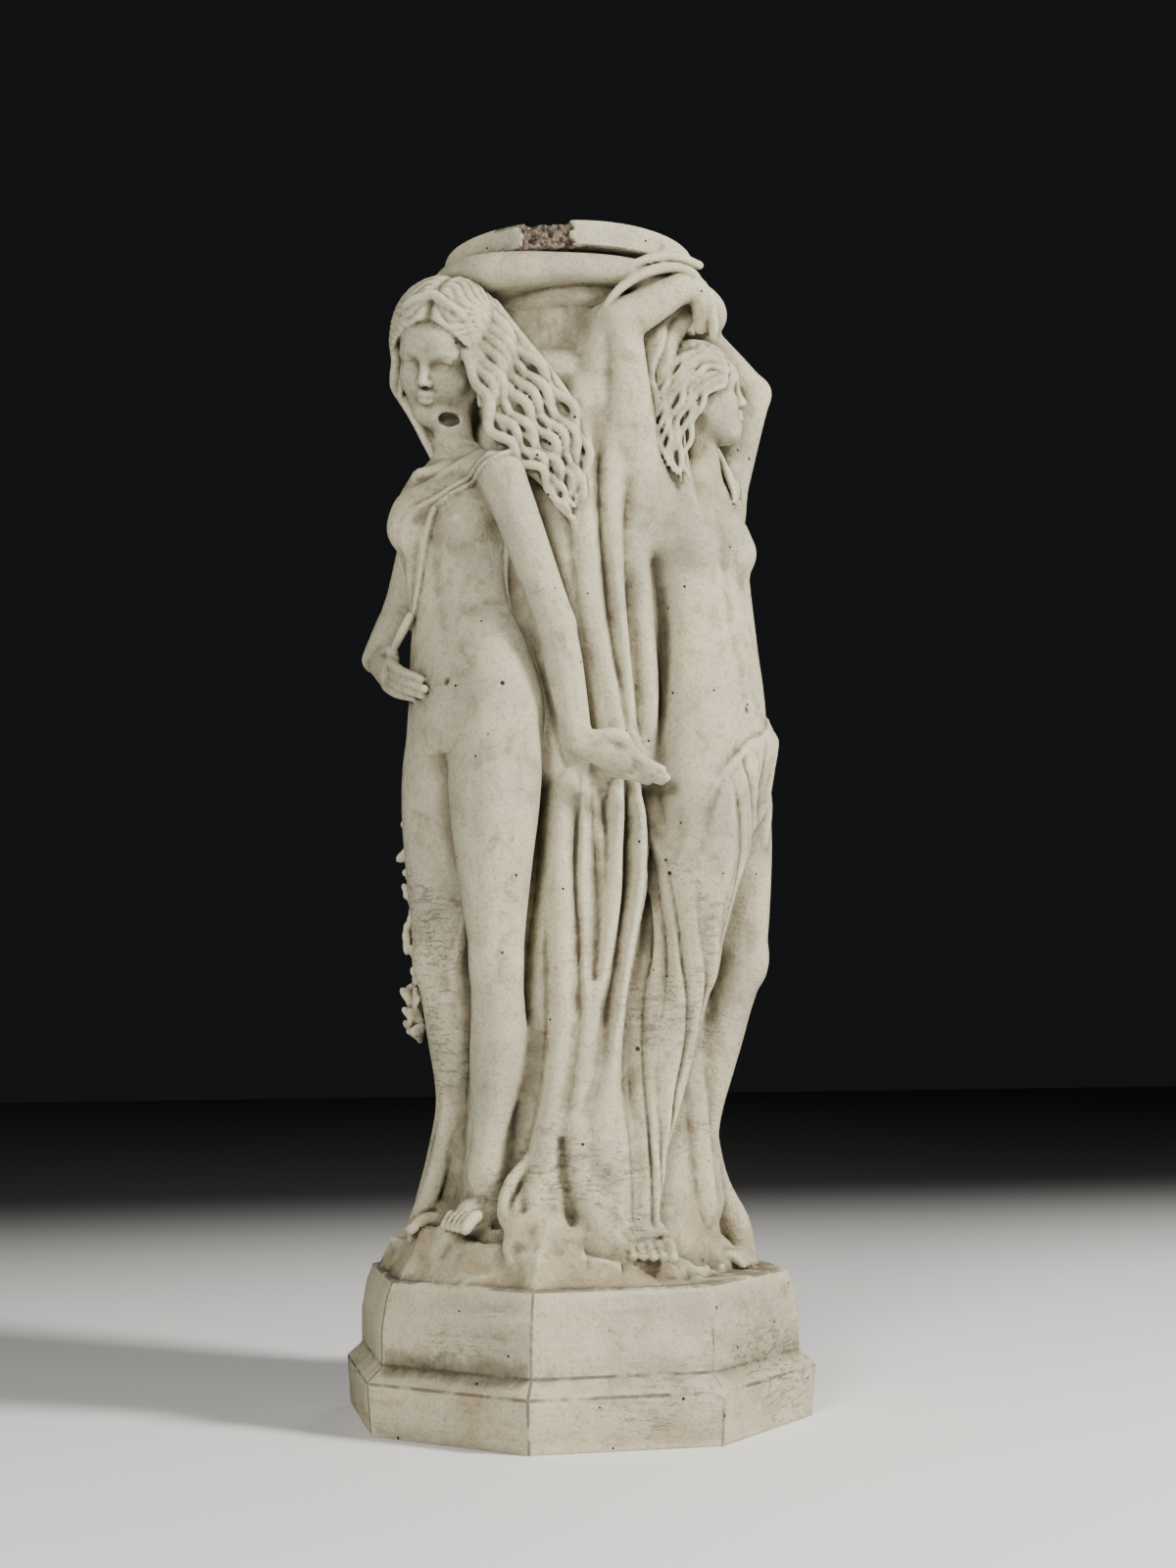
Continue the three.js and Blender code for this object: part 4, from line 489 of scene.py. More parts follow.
def torso(fr, crotch, neck, path, turns, size=1.0, waist=1.0):
    """path: left and front of the pelvis, waist, chest and neck"""
    build = [(-.08, 45, 19, 25), (0, 48, 22.5, 28), (.08, 48, 25.5, 28), (.18, 45.5, 26.5, 26),
             (.28, 42, 25.5, 24), (.40, 37.5, 23, 22), (.48, 36, 22, 21), (.57, 36.5, 22, 21.5),
             (.67, 39, 23.5, 23.5), (.78, 41.5, 24, 24.5), (.87, 42, 21.5, 22.5), (.94, 37, 17.5, 18),
             (1.0, 25, 14, 14), (1.05, 14, 12, 12)]
    knots = [-.1, .12, .5, .82, 1.05]
    p = spline([path[0], path[0], path[1], path[2], path[3]], 8)
    kt = np.interp(np.linspace(0, 4, len(p)), range(5), knots)
    rows = []
    for t, w, fd, bd in build:
        g = 1 + (waist - 1) * math.exp(-((t - .48) / .2) ** 2)
        turn = np.interp(t, [.15, .75], turns)
        rows.append((crotch + (neck - crotch) * t, np.interp(t, kt, p[:, 0]), np.interp(t, kt, p[:, 1]),
                     w * size * g, fd * size * g, bd * size * g, turn))
    loft(fr, rows, 4)


def leg(fr, hip, knee, ankle, size=1.0, turn=0.0, slim=1.0):
    """hip, knee and ankle: left, front and height"""
    thigh = [(-.50, 6, 8, 8, 0), (-.40, 13, 13, 15, 0), (-.28, 19, 17, 20, 0), (-.15, 24, 21, 24, 0),
             (0, 28, 25, 27, 0), (.15, 29.5, 27, 28, 1), (.35, 28.5, 26.5, 26, 1.5),
             (.55, 26, 25, 23, 1.5), (.75, 23, 23, 20, 1), (.90, 20.5, 21, 18, .5)]
    calf = [(0, 19.5, 20.5, 17, 0), (.12, 19, 18.5, 18, -.5), (.24, 19.5, 17, 21, -1),
            (.38, 20, 16, 23, -1), (.54, 18.5, 15, 21.5, -1), (.70, 15, 13.5, 17, -.5),
            (.85, 11.8, 12, 13.5, 0), (.97, 11, 12, 12.5, 0), (1.06, 9.5, 10.5, 11, 0), (1.14, 6, 7, 7, 0)]
    hip, knee, ankle = (np.array(v, float) for v in (hip, knee, ankle))
    rows = []
    for part, a, b in ((thigh, hip, knee), (calf, knee, ankle)):
        for t, w, fd, bd, off in part:
            c = a + (b - a) * t
            q = slim if part is calf else 1.0 + (slim - 1.0) * min(1.0, max(0.0, (t - .3) / .6))
            rows.append((c[2], c[0], c[1] + off, w * size * q, fd * size * q, bd * size * q, turn))
    loft(fr, rows, 7)
    a = math.radians(turn)
    cap = fr(*knee) + (fr.front * math.cos(a) + fr.left * math.sin(a)) * 13 * size * slim
    tube([cap + UP * 7 - fr.front * 2, cap - UP * 5 - fr.front * 2], [7, 6.5], 9)


def arm(a, b, c, r=(14, 13.5, 11.5, 12.5, 8.5), k=9):
    """shoulder, elbow and wrist"""
    a, b, c = (np.asarray(v, float) for v in (a, b, c))
    tube([a, a + (b - a) * .35, a + (b - a) * .75, b], [r[0], r[1], (r[1] + r[2]) / 2 - .3, r[2]], k)
    tube([b, b + (c - b) * .3, b + (c - b) * .7, c], [r[2] - .6, r[3], (r[3] + r[4]) / 2, r[4]], 3.5)


def hand(wrist, tips, side, curl=3.0, size=1.0, thumb=(.6, .8), spread=1.0, k=1.0):
    """side points from the little finger to the thumb"""
    d = tips - wrist
    reach = np.linalg.norm(d)
    d = d / reach
    w = unit(side - d * (side @ d))
    n = np.cross(d, w)
    kn = wrist + d * reach * .48 + n * curl
    tube([wrist - d * 4, wrist + d * reach * .2 + n * curl * .5, kn], [7.0 * size, 8.5 * size, 9.6 * size],
         4, (n, .58))
    for far, off in ((.92, 1.5), (1.0, .5), (.97, -.5), (.84, -1.5)):
        base = kn + w * off * 4.9 * size
        mid = kn + (tips - kn) * .5 * far + w * off * 5.2 * size * spread + n * curl * .6
        tip = wrist + d * reach * far + w * off * 4.9 * size * spread
        tube([base, mid, tip], [3.5 * size, 3.1 * size, 2.5 * size], k)
    tube([wrist + d * reach * .14 + w * 5 * size, wrist + d * reach * .36 + w * 12 * size + n * curl * .3,
          wrist + d * reach * thumb[0] + w * 14.5 * size * thumb[1] + n * curl * .5],
         [4.6 * size, 4.2 * size, 3.0 * size], 1.6)


def foot(fr, heel, toes, sole, ankle, size=1.0):
    """heel and toes: left and front on the ground"""
    s = size
    h, t = fr(*heel, sole + 9 * s), fr(*toes, sole + 4 * s)
    d = t - h
    reach = np.linalg.norm(d)
    d = d / reach
    w = unit(np.cross(d, UP))
    tube([h - d * 1, h + d * 10], [9.5 * s, 10 * s], 6)
    tube([ankle, h + d * reach * .30 + UP * 7, h + d * reach * .52 + UP * 1], [11 * s, 11 * s, 10 * s], 8)
    tube([h + d * reach * .2 + UP * 2, h + d * reach * .42 + UP * 1, h + d * reach * .58 - UP * 2],
         [10 * s, 12 * s, 12.5 * s], 6, (UP, .6))
    for i in range(5):
        off = (i - 2) * 5.6 * s
        far = reach * (1.0 - .05 * max(i - 1, 0))
        r = (4.2 if i == 0 else 3.1) * s
        tube([h + d * reach * .6 + w * off * .9 + UP, h + d * far * .86 + w * off + UP * 1.5,
              h + d * far * 1.04 + w * off - UP * 3.5], [r * .9, r, r * .9], .5)


A = standing(-60)
hip, bust = A.turned((11, 95, 436), turn=16), A.turned((-6, 97, 562), turn=20)
hd = A.turned((-4, 106, 675), turn=25, nod=26, tilt=12, scale=1.0)
torso(A, 436, 606, [(13, 95), (0, 97), (-6, 96), (-4, 92)], (16, 20), 1.0, .95)
tube([A(-4, 93, 598), A(-5, 97, 622), hd(0, -6, -16)], [13.5, 12.5, 13], 8)
for s, p in ((-1, A(-50, 85, 590)), (1, A(44, 99, 588))):
    tube([A(-4 + s * 9, 92, 606), (A(-4 + s * 9, 92, 606) + p) / 2 + UP * 1, p - UP * 1], [7, 8.5, 10], 12)
    ball(bust, (s * 19.5, 17, 4), (14, 11, 17), 12)
    ball(bust, (s * 20.5, 23, -2), (9.5, 8, 9.5), 9)
    ball(bust, (s * 21.5, 31, -1), (2.2, 2.0, 2.2), 3)
    tube([bust(s * 3, 14, 37), bust(s * 20, 13, 36), p + A.front * 5], [2.5, 2.5, 2.5], 6)
ball(hip, (0, 13, -2), (27, 16, 26), 14)
ball(hip, (0, 30, 22), (1.6, 4, 2.4), 2, "cut")
tube([bust(0, 27, -12), bust(0, 25, -35), hip(0, 31, 34)], [1.5, 1.5, 1.2], 8, None, "cut")
leg(A, (35, 96, 430), (42, 100, 282), (22, 93, 158), 1.03, 0, .84)
foot(A, (14, 80), (23, 120), 124, A(22, 92, 158), .95)
leg(A, (-14, 94, 430), (-17, 98, 284), (-8, 86, 166), 1.0, 0, .86)
foot(A, (-12, 74), (-26, 116), 121, A(-8, 86, 166), .9)
tube([A(-20, 92, 250), A(-16, 94, 200), A(-22, 96, 160), A(-34, 96, 130), A(-40, 92, 116)],
     [4, 6, 8, 8, 5], 5)
tube([A(-12, 96, 230), A(-10, 98, 190), A(-16, 104, 150), A(-26, 108, 126), A(-32, 108, 114)],
     [3, 5, 6, 6, 4], 3)
for i in range(3):
    tube([A(9 + 3 * i, 82, 350), A(10 + 3 * i, 88 + i, 260), A(6 + 4 * i, 90 + 2 * i, 180),
          A(-2 + 7 * i, 92 + 4 * i, 122)], [4, 4.5, 5, 5], 1.5)
arm(A(45, 98, 588), A(69, 75, 492), A(76, 64, 420), (14, 13.5, 12, 12, 8.8))
hand(A(76, 64, 420), A(106, 18, 396), UP + A.front * .6, 1.0, 1.12, (.55, .5), .62, .6)
arm(A(-49, 84, 590), A(-86, 78, 524), A(-82, 103, 487), (13.5, 12.5, 11.5, 11, 8.2))
hand(A(-82, 103, 487), A(4, 128, 452), UP, 6, 1.05, (.5, .3), .9)


def drape(low, high, shape, k=1.0):
    """cloth laid on what is there: shape(x, y, z, field) gives the new surface"""
    cut = clay.region(low, high, 0)
    s = tuple(slice(a, b) for a, b in cut)
    clay.field[s] = smooth_min(clay.field[s], shape(*clay.grid(cut), clay.field[s]), k)


def sash(l, f, u):
    edge = np.interp(u, [-90, -62, -20, 10, 18, 26, 38], [-24, -20, -7, 4, 19, 36, 56]).astype(F)
    top = np.interp(l, [-60, -30, 0, 28, 45], [16, 22, 33, 48, 60]).astype(F)
    return edge, top


def sash_shape(x, y, z, field):
    l, f, u = bust.local(x, y, z)
    edge, top = sash(l, f, u)
    w = (edge - l) * F(.7)
    pleat = F(.9) * np.cos(np.clip(w, 0, 14) * F(.62)) * (w < 14)
    m = np.maximum(np.maximum(l - edge, u - top), np.maximum(-66 - u, -f - 4)) * F(.8)
    return np.maximum(field - F(1.5) - pleat, m).astype(F)


drape(bust(0, 0, -8) - 62, bust(0, 0, -8) + 62, sash_shape, .8)
tube([bust(-17, 24, -58), bust(-24, 23, -68), bust(-34, 16, -76)], [2.5, 3, 2.5], 3)


def face(fr):
    def line(pts, r, k, flat=None, mode="add"):
        tube([fr(*p) for p in pts], np.asarray(r) * fr.scale, k, flat, mode)
    ball(fr, (0, -2, 8), (27.5, 33, 30), 0)
    ball(fr, (0, 7, -9), (22, 22.5, 31), 8)
    ball(fr, (0, 20, -32), (8.5, 7.5, 7.5), 10)
    for s in (-1, 1):
        line([(s * 18, 2, -20), (s * 6, 19, -33)], [6.5, 6], 9)
        ball(fr, (s * 12.5, 18.5, -12), (8.5, 7, 9), 9)
    line([(-8, 22, 14), (8, 22, 14)], [9, 9], 10)
    for s in (-1, 1):
        ball(fr, (s * 10.5, 33.5, -.2), (7.6, 5.6, 5.0), 5, "cut")
        ball(fr, (s * 10.4, 22.6, -.2), (6.0, 5.6, 4.6), 1.6)
        lid = [(s * (10.4 + 6.2 * math.sin(q)), 26.4 + 2.2 * math.cos(q), .2 + 2.6 * math.cos(q))
               for q in np.linspace(-1.25, 1.25, 6)]
        line(lid, [.9] * 6, .8)
        lid = [(s * (10.4 + 5.8 * math.sin(q)), 26.0 + 1.8 * math.cos(q), -.8 - 2.2 * math.cos(q))
               for q in np.linspace(-1.2, 1.2, 6)]
        line(lid, [.7] * 6, .8)
        line([(s * 3.4, 29.4, 5.0), (s * 9, 29.8, 7.6), (s * 15, 26.4, 6.8), (s * 19, 21.5, 3.4)],
             [1.4, 2.0, 2.0, 1.4], 5)
    line([(0, 28.6, 6), (0, 31.0, -2), (0, 34.6, -10.5)], [2.6, 2.4, 3.0], 3.5)
    for s in (-1, 1):
        ball(fr, (s * 3.4, 30.8, -12), (2.4, 3.2, 2.3), 1.8)
        ball(fr, (s * 1.7, 33.4, -14), (1.0, 1.6, .9), .6, "cut")
        line([(0, 30.4, -19), (s * 3.2, 30.0, -18.8), (s * 7.0, 26.6, -20.6)], [1.7, 1.8, .9], 1.8)
        line([(0, 30.0, -23.2), (s * 3, 29.6, -23), (s * 6.2, 26.8, -21.6)], [2.1, 2.0, .9], 1.8)
    line([(-7, 28.4, -21.2), (-2.5, 32, -21), (2.5, 32, -21), (7, 28.4, -21.2)], [.8] * 4, .6, None, "cut")


def hair_cap(fr, radii=(33.5, 35, 36), centre=(0, -5, 11), part=0.0, comb=22, deep=1.0, arch=27.0,
             side=11.0):
    """hair combed from a parting, open over the face"""
    c = fr(*centre)
    m = max(radii) * fr.scale + 2

    def shape(x, y, z):
        l, f, u = fr.local(x, y, z)
        a, b, h = l - F(centre[0]), f - F(centre[1]), u - F(centre[2])
        k0 = np.sqrt((a / radii[0]) ** 2 + (b / radii[1]) ** 2 + (h / radii[2]) ** 2)
        k1 = np.sqrt((a / radii[0] ** 2) ** 2 + (b / radii[1] ** 2) ** 2 + (h / radii[2] ** 2) ** 2)
        d = k0 * (k0 - 1) / np.maximum(k1, F(1e-4))
        turn = np.arctan2(b, h)
        al = np.abs(l - F(part))
        q = turn * comb / F(math.pi) + F(.9) * np.sin(al * F(.16) + turn * 2) + al * F(.02)
        w = np.abs((q - np.floor(q)) * 2 - 1)
        q2 = q * F(2.3) + F(.4)
        w2 = np.abs((q2 - np.floor(q2)) * 2 - 1)
        fade = np.clip(al / 6, 0, 1) * np.clip((np.sqrt(b * b + h * h) - 10) / 14, 0, 1)
        d = d - F(deep) * fade * (F(.75) * (1 - w * w) + F(.3) * (1 - w2))
        d = d + F(1.6) * np.exp(-(al / 2.2) ** 2)
        edge = np.maximum(np.minimum(F(arch) - F(.028) * al * al - u, F(1e3)), -F(1e3))
        back = f - (F(side) + F(.22) * u)
        opening = np.minimum(edge, back)
        return (smooth_max(d, opening, F(3.0)) * F(.9 * fr.scale)).astype(F)

    clay.shape(c - m, c + m, 1.2, shape)


def lock(points, amp, waves, r0, r1, side, phase=0.0, k=1.0, flat=.8):
    """a waving lock of hair along a smooth line; side is the way it waves"""
    s = spline(points, 7)
    n = len(s)
    t = np.linspace(0, 1, n)
    run = unit(s[-1] - s[0])
    w = unit(side - run * (side @ run))
    grow = np.clip(t * 4, 0, 1)
    s = s + np.outer(amp * grow * np.sin(2 * math.pi * waves * t + phase), w)
    r = r0 + (r1 - r0) * t
    r = r * np.where(t > .85, 1 - (t - .85) * 3, 1)
    tube(s, r, k, (w, flat) if flat < 1 else None, per=1)


face(hd)
ball(A, (2, 106.5, 631.5), (5.2, 8, 4.6), 0.8, "cut")
hair_cap(hd, (36, 37, 38), part=1.0, deep=2.0, comb=16)
tube([hd(24, -10, 14), hd(30, -12, -8), hd(28, -14, -34)], [11, 12, 10], 6)
tube([hd(-22, -6, 12), hd(-26, -6, -10), hd(-22, -8, -34), A(-22, 84, 604)], [9, 9, 8, 7], 6)
high_edge = [on_core(*p) for p in ((-46, 704, 99), (-33, 676, 98), (-21, 652, 93),
                                   (-10, 628, 88), (-5, 600, 85), (-8, 576, 85))]
low_edge = [on_core(*p) for p in ((-50, 676, 114), (-41, 646, 117), (-37, 618, 115),
                                  (-30, 600, 107), (-22, 588, 97), (-14, 566, 87))]
for i in range(7):
    s = i / 6
    line = [a + (b - a) * s for a, b in zip(low_edge, high_edge)]
    tube([p - 9.5 * unit(p * (1, 1, 0)) for p in line], [6, 7, 7, 6, 5, 3], 4)
    if i < 6:
        s = (i + .5) / 6
        inner = [a + (b - a) * s for a, b in zip(low_edge, high_edge)]
        lock([p - 1.5 * unit(p * (1, 1, 0)) for p in inner],
             2.6, 4.7 + .3 * (i % 3), 3.0, 2.0, UP * .6 + A.left, 1.9 + .8 * i, .7, .9)
    lock(line, 3.4, 4.3 + .35 * math.sin(i * 2.3), 4.5, 2.6, UP * .8 + A.left, .75 * i, .7, .9)
lock([on_core(-24, 596, 98), on_core(-18, 578, 90), on_core(-13, 562, 86), on_core(-8, 556, 84)],
     2.6, 1.6, 3.4, 1.6, UP, 1)
for s in (-1, 1):
    for i in range(4):
        lock([hd(s * 2, 18 - 9 * i, 41 - i), hd(s * 17, 20 - 9 * i, 33), hd(s * (27 + i), 14 - 8 * i, 14),
              hd(s * (28.5 + i), 9 - 8 * i, -8), hd(s * (28 + i), 4 - 8 * i, -28)],
             1.6, 2.2 + .3 * i, 4.0, 3.4, A.front, i * 1.3, .7, .85)
for i in range(4):
    lock([hd(-27 + i, 14 - 7 * i, 8), hd(-31 + i, 8 - 7 * i, -14), hd(-27 + i, 2 - 6 * i, -34),
          A(-26 + 4 * i, 92 - 5 * i, 606)], 2.2, 1.6, 4.2, 3.0, A.left, i)


# The second grace, on the right: both arms raised to the roll, her hair gathered up to the hands. A
# cloth hangs from the near elbow to the ground, and another is drawn round her hips and right leg.
B = standing(60)
hip, bust = B.turned((0, 96, 424), turn=-22), B.turned((-2, 88, 550), turn=-28, nod=-8)
hd = B.turned((1, 90, 659), turn=14, nod=-8, scale=.80)
torso(B, 412, 600, [(2, 97), (1, 95), (-1, 86), (0, 86)], (-22, -28), .97, 1.06)
tube([B(0, 87, 590), B(0, 91, 612), hd(0, -8, -18)], [13, 11.5, 11], 8)
for s, p in ((-1, B(-36, 64, 586)), (1, B(38, 94, 588))):
    tube([B(s * 9, 88, 600), p], [8, 10], 12)
    tube([p + UP * 8, p - UP * 14, p * .7 + bust(s * 26, 0, -10) * .3 - UP * 14], [13, 13, 11], 12)
    ball(bust, (s * 19, 16, 6), (13, 9.5, 18), 12)
    ball(bust, (s * 20, 21, 0), (8, 7, 8.5), 9)
    ball(bust, (s * 21, 28, 0), (1.8, 1.6, 1.8), 3)
ball(hip, (0, 12, 0), (26, 16, 26), 14)
ball(hip, (0, 29, 22), (1.6, 4, 2.4), 2, "cut")
tube([bust(0, 25, -12), bust(0, 24, -35), hip(0, 30, 34)], [1.5, 1.5, 1.2], 8, None, "cut")
arm(B(-38, 60, 588), B(-54, 50, 696), B(-45, 89, 718), (15, 15.5, 15, 13.5, 9.5))
tube([B(-45, 89, 718), B(-40, 99, 717), B(-32, 102, 707), B(-26, 98, 698)], [9, 8.5, 7, 5], 3)
for i in range(4):
    tube([B(-43 + 3 * i, 103 + i, 720 - 5 * i), B(-38 + 3 * i, 108, 712 - 5 * i),
          B(-31 + 2 * i, 106, 702 - 4 * i)], [2.4, 3.0, 2.4], .8)
arm(B(38, 95, 590), B(46, 115, 671), B(12, 84, 712), (13.5, 13, 12.5, 11.5, 8.5), 8)
hand(B(12, 84, 712), B(-24, 90, 706), UP, 1, .9, (.5, .7))
face(hd)
hair_cap(hd, comb=13, side=6, deep=2.4)
tube([hd(-18, 4, 20), B(-25, 80, 656), B(-27, 77, 630), B(-27, 82, 604), B(-26, 88, 584)],
     [10, 10, 9.5, 8, 5], 4)
tube([B(-24, 84, 706), B(-28, 74, 684), B(-28, 72, 656)], [8, 8, 8], 4)
strands = np.array([
    [(-4, 99, 690), (-14, 85, 691), (-24, 75, 680), (-31, 67, 664),
     (-36, 63, 646), (-39, 62, 630), (-40, 66, 614)],
    [(-8, 107, 682), (-19, 95, 684), (-29, 84, 673), (-35, 77, 658),
     (-39, 71, 643), (-41, 69, 627), (-41, 73, 610)],
    [(-13, 111, 672), (-24, 99, 672), (-31, 90, 660), (-36, 84, 646),
     (-38, 79, 631), (-39, 78, 615), (-39, 82, 598)],
    [(-18, 111, 660), (-25, 104, 655), (-29, 98, 645), (-31, 94, 632),
     (-33, 90, 618), (-35, 88, 604), (-35, 91, 590)]])
for i in range(11):
    a, s = divmod(i * .3, 1)
    line = strands[int(a)] * (1 - s) + strands[min(3, int(a) + 1)] * s
    lock([B(*p) for p in line], 1.9, 3.4 + .5 * math.sin(i * 1.9), 3.3 if i % 2 else 2.6, 1.6,
         B.front + UP * .5, 1.3 * i, .5, .9)
for i in range(4):
    lock([B(-30, 90 - 4 * i, 722 - 2 * i), B(-34, 80 - 4 * i, 704), B(-37, 72 - 3 * i, 684),
          B(-39, 69 - 2 * i, 658), B(-39, 71 - i, 636)], 1.8, 2.6, 3.4, 2.6, B.front, i * .9, .6, .9)
for i in range(4):
    lock([hd(25, -2 - 7 * i, 2), hd(28, -6 * i, -20), B(20 + 3 * i, 103, 612), B(12 + 5 * i, 110, 588)],
         2.6, 2.6, 3.4, 2.0, B.left, i * 1.2, .6, .9)
leg(B, (25, 97, 414), (21, 106, 284), (12, 75, 158), .98, -14, .92)
foot(B, (2, 70), (14, 112), 93, B(12, 75, 158), 1.0)
leg(B, (-20, 92, 414), (-28, 86, 282), (-57, 62, 152), 1.0, -24, .92)
foot(B, (-58, 54), (-92, 79), 107, B(-57, 62, 152), 1.0)
tube([B(30, 70, 180), B(38, 80, 144), B(46, 92, 116), B(52, 96, 98)], [8, 10, 12, 10], 8)
tube([B(0, 92, 404), B(-6, 84, 330), B(-18, 70, 240)], [26, 24, 14], 12)


def wrap(fr, low, high, inside, a, b, cloth=1.8, count=10, twist=.01, deep=3.0, waver=.2, reach=(60, 60)):
    """cloth drawn about the line from a to b, in pleats"""
    a, b = np.asarray(a, float), np.asarray(b, float)
    d = unit(b - a)
    e1 = unit(np.cross(d, fr.front))
    e2 = np.cross(d, e1)
    corners = np.array([fr(i, j, q) for i in (low[0], high[0]) for j in (low[1], high[1])
                        for q in (low[2], high[2])])

    def shape(x, y, z, field):
        px, py, pz = x - F(a[0]), y - F(a[1]), z - F(a[2])
        t = along(px, py, pz, d)
        u = along(px, py, pz, e1)
        v = along(px, py, pz, e2)
        ang = np.arctan2(v, u)
        q = ang * F(count / (2 * math.pi)) + t * F(twist) + F(waver) * np.sin(t * F(.05) + ang * 2)
        w = np.abs((q - np.floor(q)) * 2 - 1)
        q2 = q * F(1.618) + F(.3)
        w2 = np.abs((q2 - np.floor(q2)) * 2 - 1)
        l, f, h = fr.local(x, y, z)
        m, amount = inside(l, f, h)
        far = np.sqrt(u * u + v * v) - np.interp(t, [0, np.linalg.norm(b - a)], reach).astype(F)
        m = smooth_max(m, far * F(.8), 6.0)
        pleat = F(deep) * amount * (F(.75) * (1 - w * w) + F(.25) * (1 - w2 * w2))
        return np.maximum((field - F(cloth) - pleat) * F(.9), m).astype(F)
    drape(corners.min(0), corners.max(0), shape)


def hip_cloth(l, f, u):
    top = (u - np.interp(l, [-50, -46, -41, -31, -9, 15, 50],
                         [340, 377, 396, 411, 426, 437, 455]).astype(F)) * F(.6)
    side = np.interp(u, [120, 160, 250, 340, 400], [-84, -76, -58, -52, -50]).astype(F)
    edge = np.interp(u, [120, 160, 200, 244, 288, 327, 366, 385, 420],
                     [-66, -57, -46, -38, -33, -20, 0, 20, 60]).astype(F)
    m = np.maximum(np.maximum(top, (l - edge) * F(.7)), np.maximum(side - l, 118 - u))
    return m, np.clip(-m / 8, 0, 1)


wrap(B, (-110, 20, 110), (62, 150, 470), hip_cloth, B(-4, 88, 440), B(-56, 62, 140), 1.8, 11, .012, 5.2,
     .3, reach=(56, 30))
tube([B(-49, 86, 346), B(-48, 95, 370), B(-40, 110, 398), B(-20, 121, 418), B(6, 124.5, 434),
      B(32, 118, 448), B(50, 100, 457)], [1.8, 2.2, 2.4, 2.6, 2.8, 3, 3], 1.2)
tube([B(48, 103, 448), B(32, 118, 434), B(14, 125, 416), B(0, 125, 394)], [3, 5, 5, 2], 3)
tube([B(54, 92, 428), B(40, 114, 410), B(26, 124, 388), B(14, 126, 362)], [3, 5, 4.5, 2], 3)
tube([B(-66, 42, 700), B(-63, 54, 716), B(-57, 70, 727), B(-50, 86, 731), B(-44, 98, 727),
      B(-41, 104, 716)], [2, 3, 3.6, 3.6, 3.4, 2.2], 1.2)
tube([B(-63, 52, 727), B(-56, 70, 736), B(-47, 87, 739), B(-35, 100, 736)], [2, 3.2, 3.6, 2.8], 1.2)
tube([B(-52, 36, 560), B(-56, 35, 620), B(-60, 38, 668), B(-58, 44, 696), B(-52, 52, 708)],
     [7, 8, 8, 7, 4], 5)


# The third grace, at the back: a hand on her breast, the other hanging down to the garland. Her hair
# falls to both shoulders and a skirt hangs from the hips to the ankles.
C = standing(180)
hip, bust = C.turned((-10, 93, 436)), C.turned((2, 97, 562), nod=-3)
hd = C.turned((2, 104, 670), turn=-22, nod=14, tilt=-4)
torso(C, 430, 606, [(-10, 93), (-4, 96), (3, 96), (3, 92)], (0, 0))
tube([C(3, 93, 598), C(3, 97, 620), hd(0, -6, -16)], [13.5, 12.5, 13], 8)
for s, p in ((-1, C(-44, 92, 590)), (1, C(50, 92, 592))):
    tube([C(3 + s * 9, 92, 606), p], [7, 10], 12)
    ball(bust, (s * 19.5, 17, 4), (14, 11, 17), 12)
    ball(bust, (s * 20.5, 23, -2), (9.5, 8, 9.5), 9)
    ball(bust, (s * 21.5, 31, -1), (2.0, 2.0, 2.0), 3)
ball(hip, (0, 13, -2), (27, 16, 26), 14)
arm(C(50, 92, 592), C(80, 76, 498), C(92, 66, 430))
hand(C(92, 66, 430), C(98, 62, 386), C.front, 1, 1.05)
arm(C(-44, 92, 590), C(-64, 92, 498), C(-34, 122, 548))
hand(C(-34, 122, 548), C(8, 130, 578), UP, 4, 1.0)
face(hd)
hair_cap(hd)
for s in (-1, 1):
    tube([hd(s * 24, -10, 10), hd(s * 32, -12, -12), C(s * 42, 86, 626), C(s * 46, 88, 600)],
         [10, 10, 8, 6], 6)
    for i in range(6):
        lock([hd(s * 28, 4 - 5 * i, 6 - 3 * i), hd(s * (36 + i), -2 - 4 * i, -18),
              C(s * (44 + 3 * i), 96 - 4 * i, 628), C(s * (38 + 8 * i), 100 - 5 * i, 590 + 3 * i)],
             3.0, 1.8, 4.0, 2.6, C.left, i * .4)
leg(C, (-34, 95, 426), (-36, 102, 284), (-28, 94, 160), 1.0, 0, .9)
leg(C, (14, 95, 426), (20, 108, 282), (18, 88, 162), 1.0, 0, .9)
foot(C, (-28, 84), (-34, 138), 110, C(-28, 94, 160))
foot(C, (18, 78), (34, 132), 110, C(18, 88, 162))
tube([C(-8, 96, 410), C(-8, 94, 290), C(-6, 90, 130)], [26, 26, 22], 12)


def skirt(l, f, u):
    m = np.maximum(np.maximum((u - (432 + .5 * l)) * F(.7), 142 + F(.25) * l - u), 40 - f)
    return m, np.clip(-m / 10, 0, 1)


wrap(C, (-82, 20, 110), (82, 150, 480), skirt, C(-6, 92, 430), C(-6, 88, 130), 1.8, 16, .008, 3.4, .25,
     reach=(54, 60))


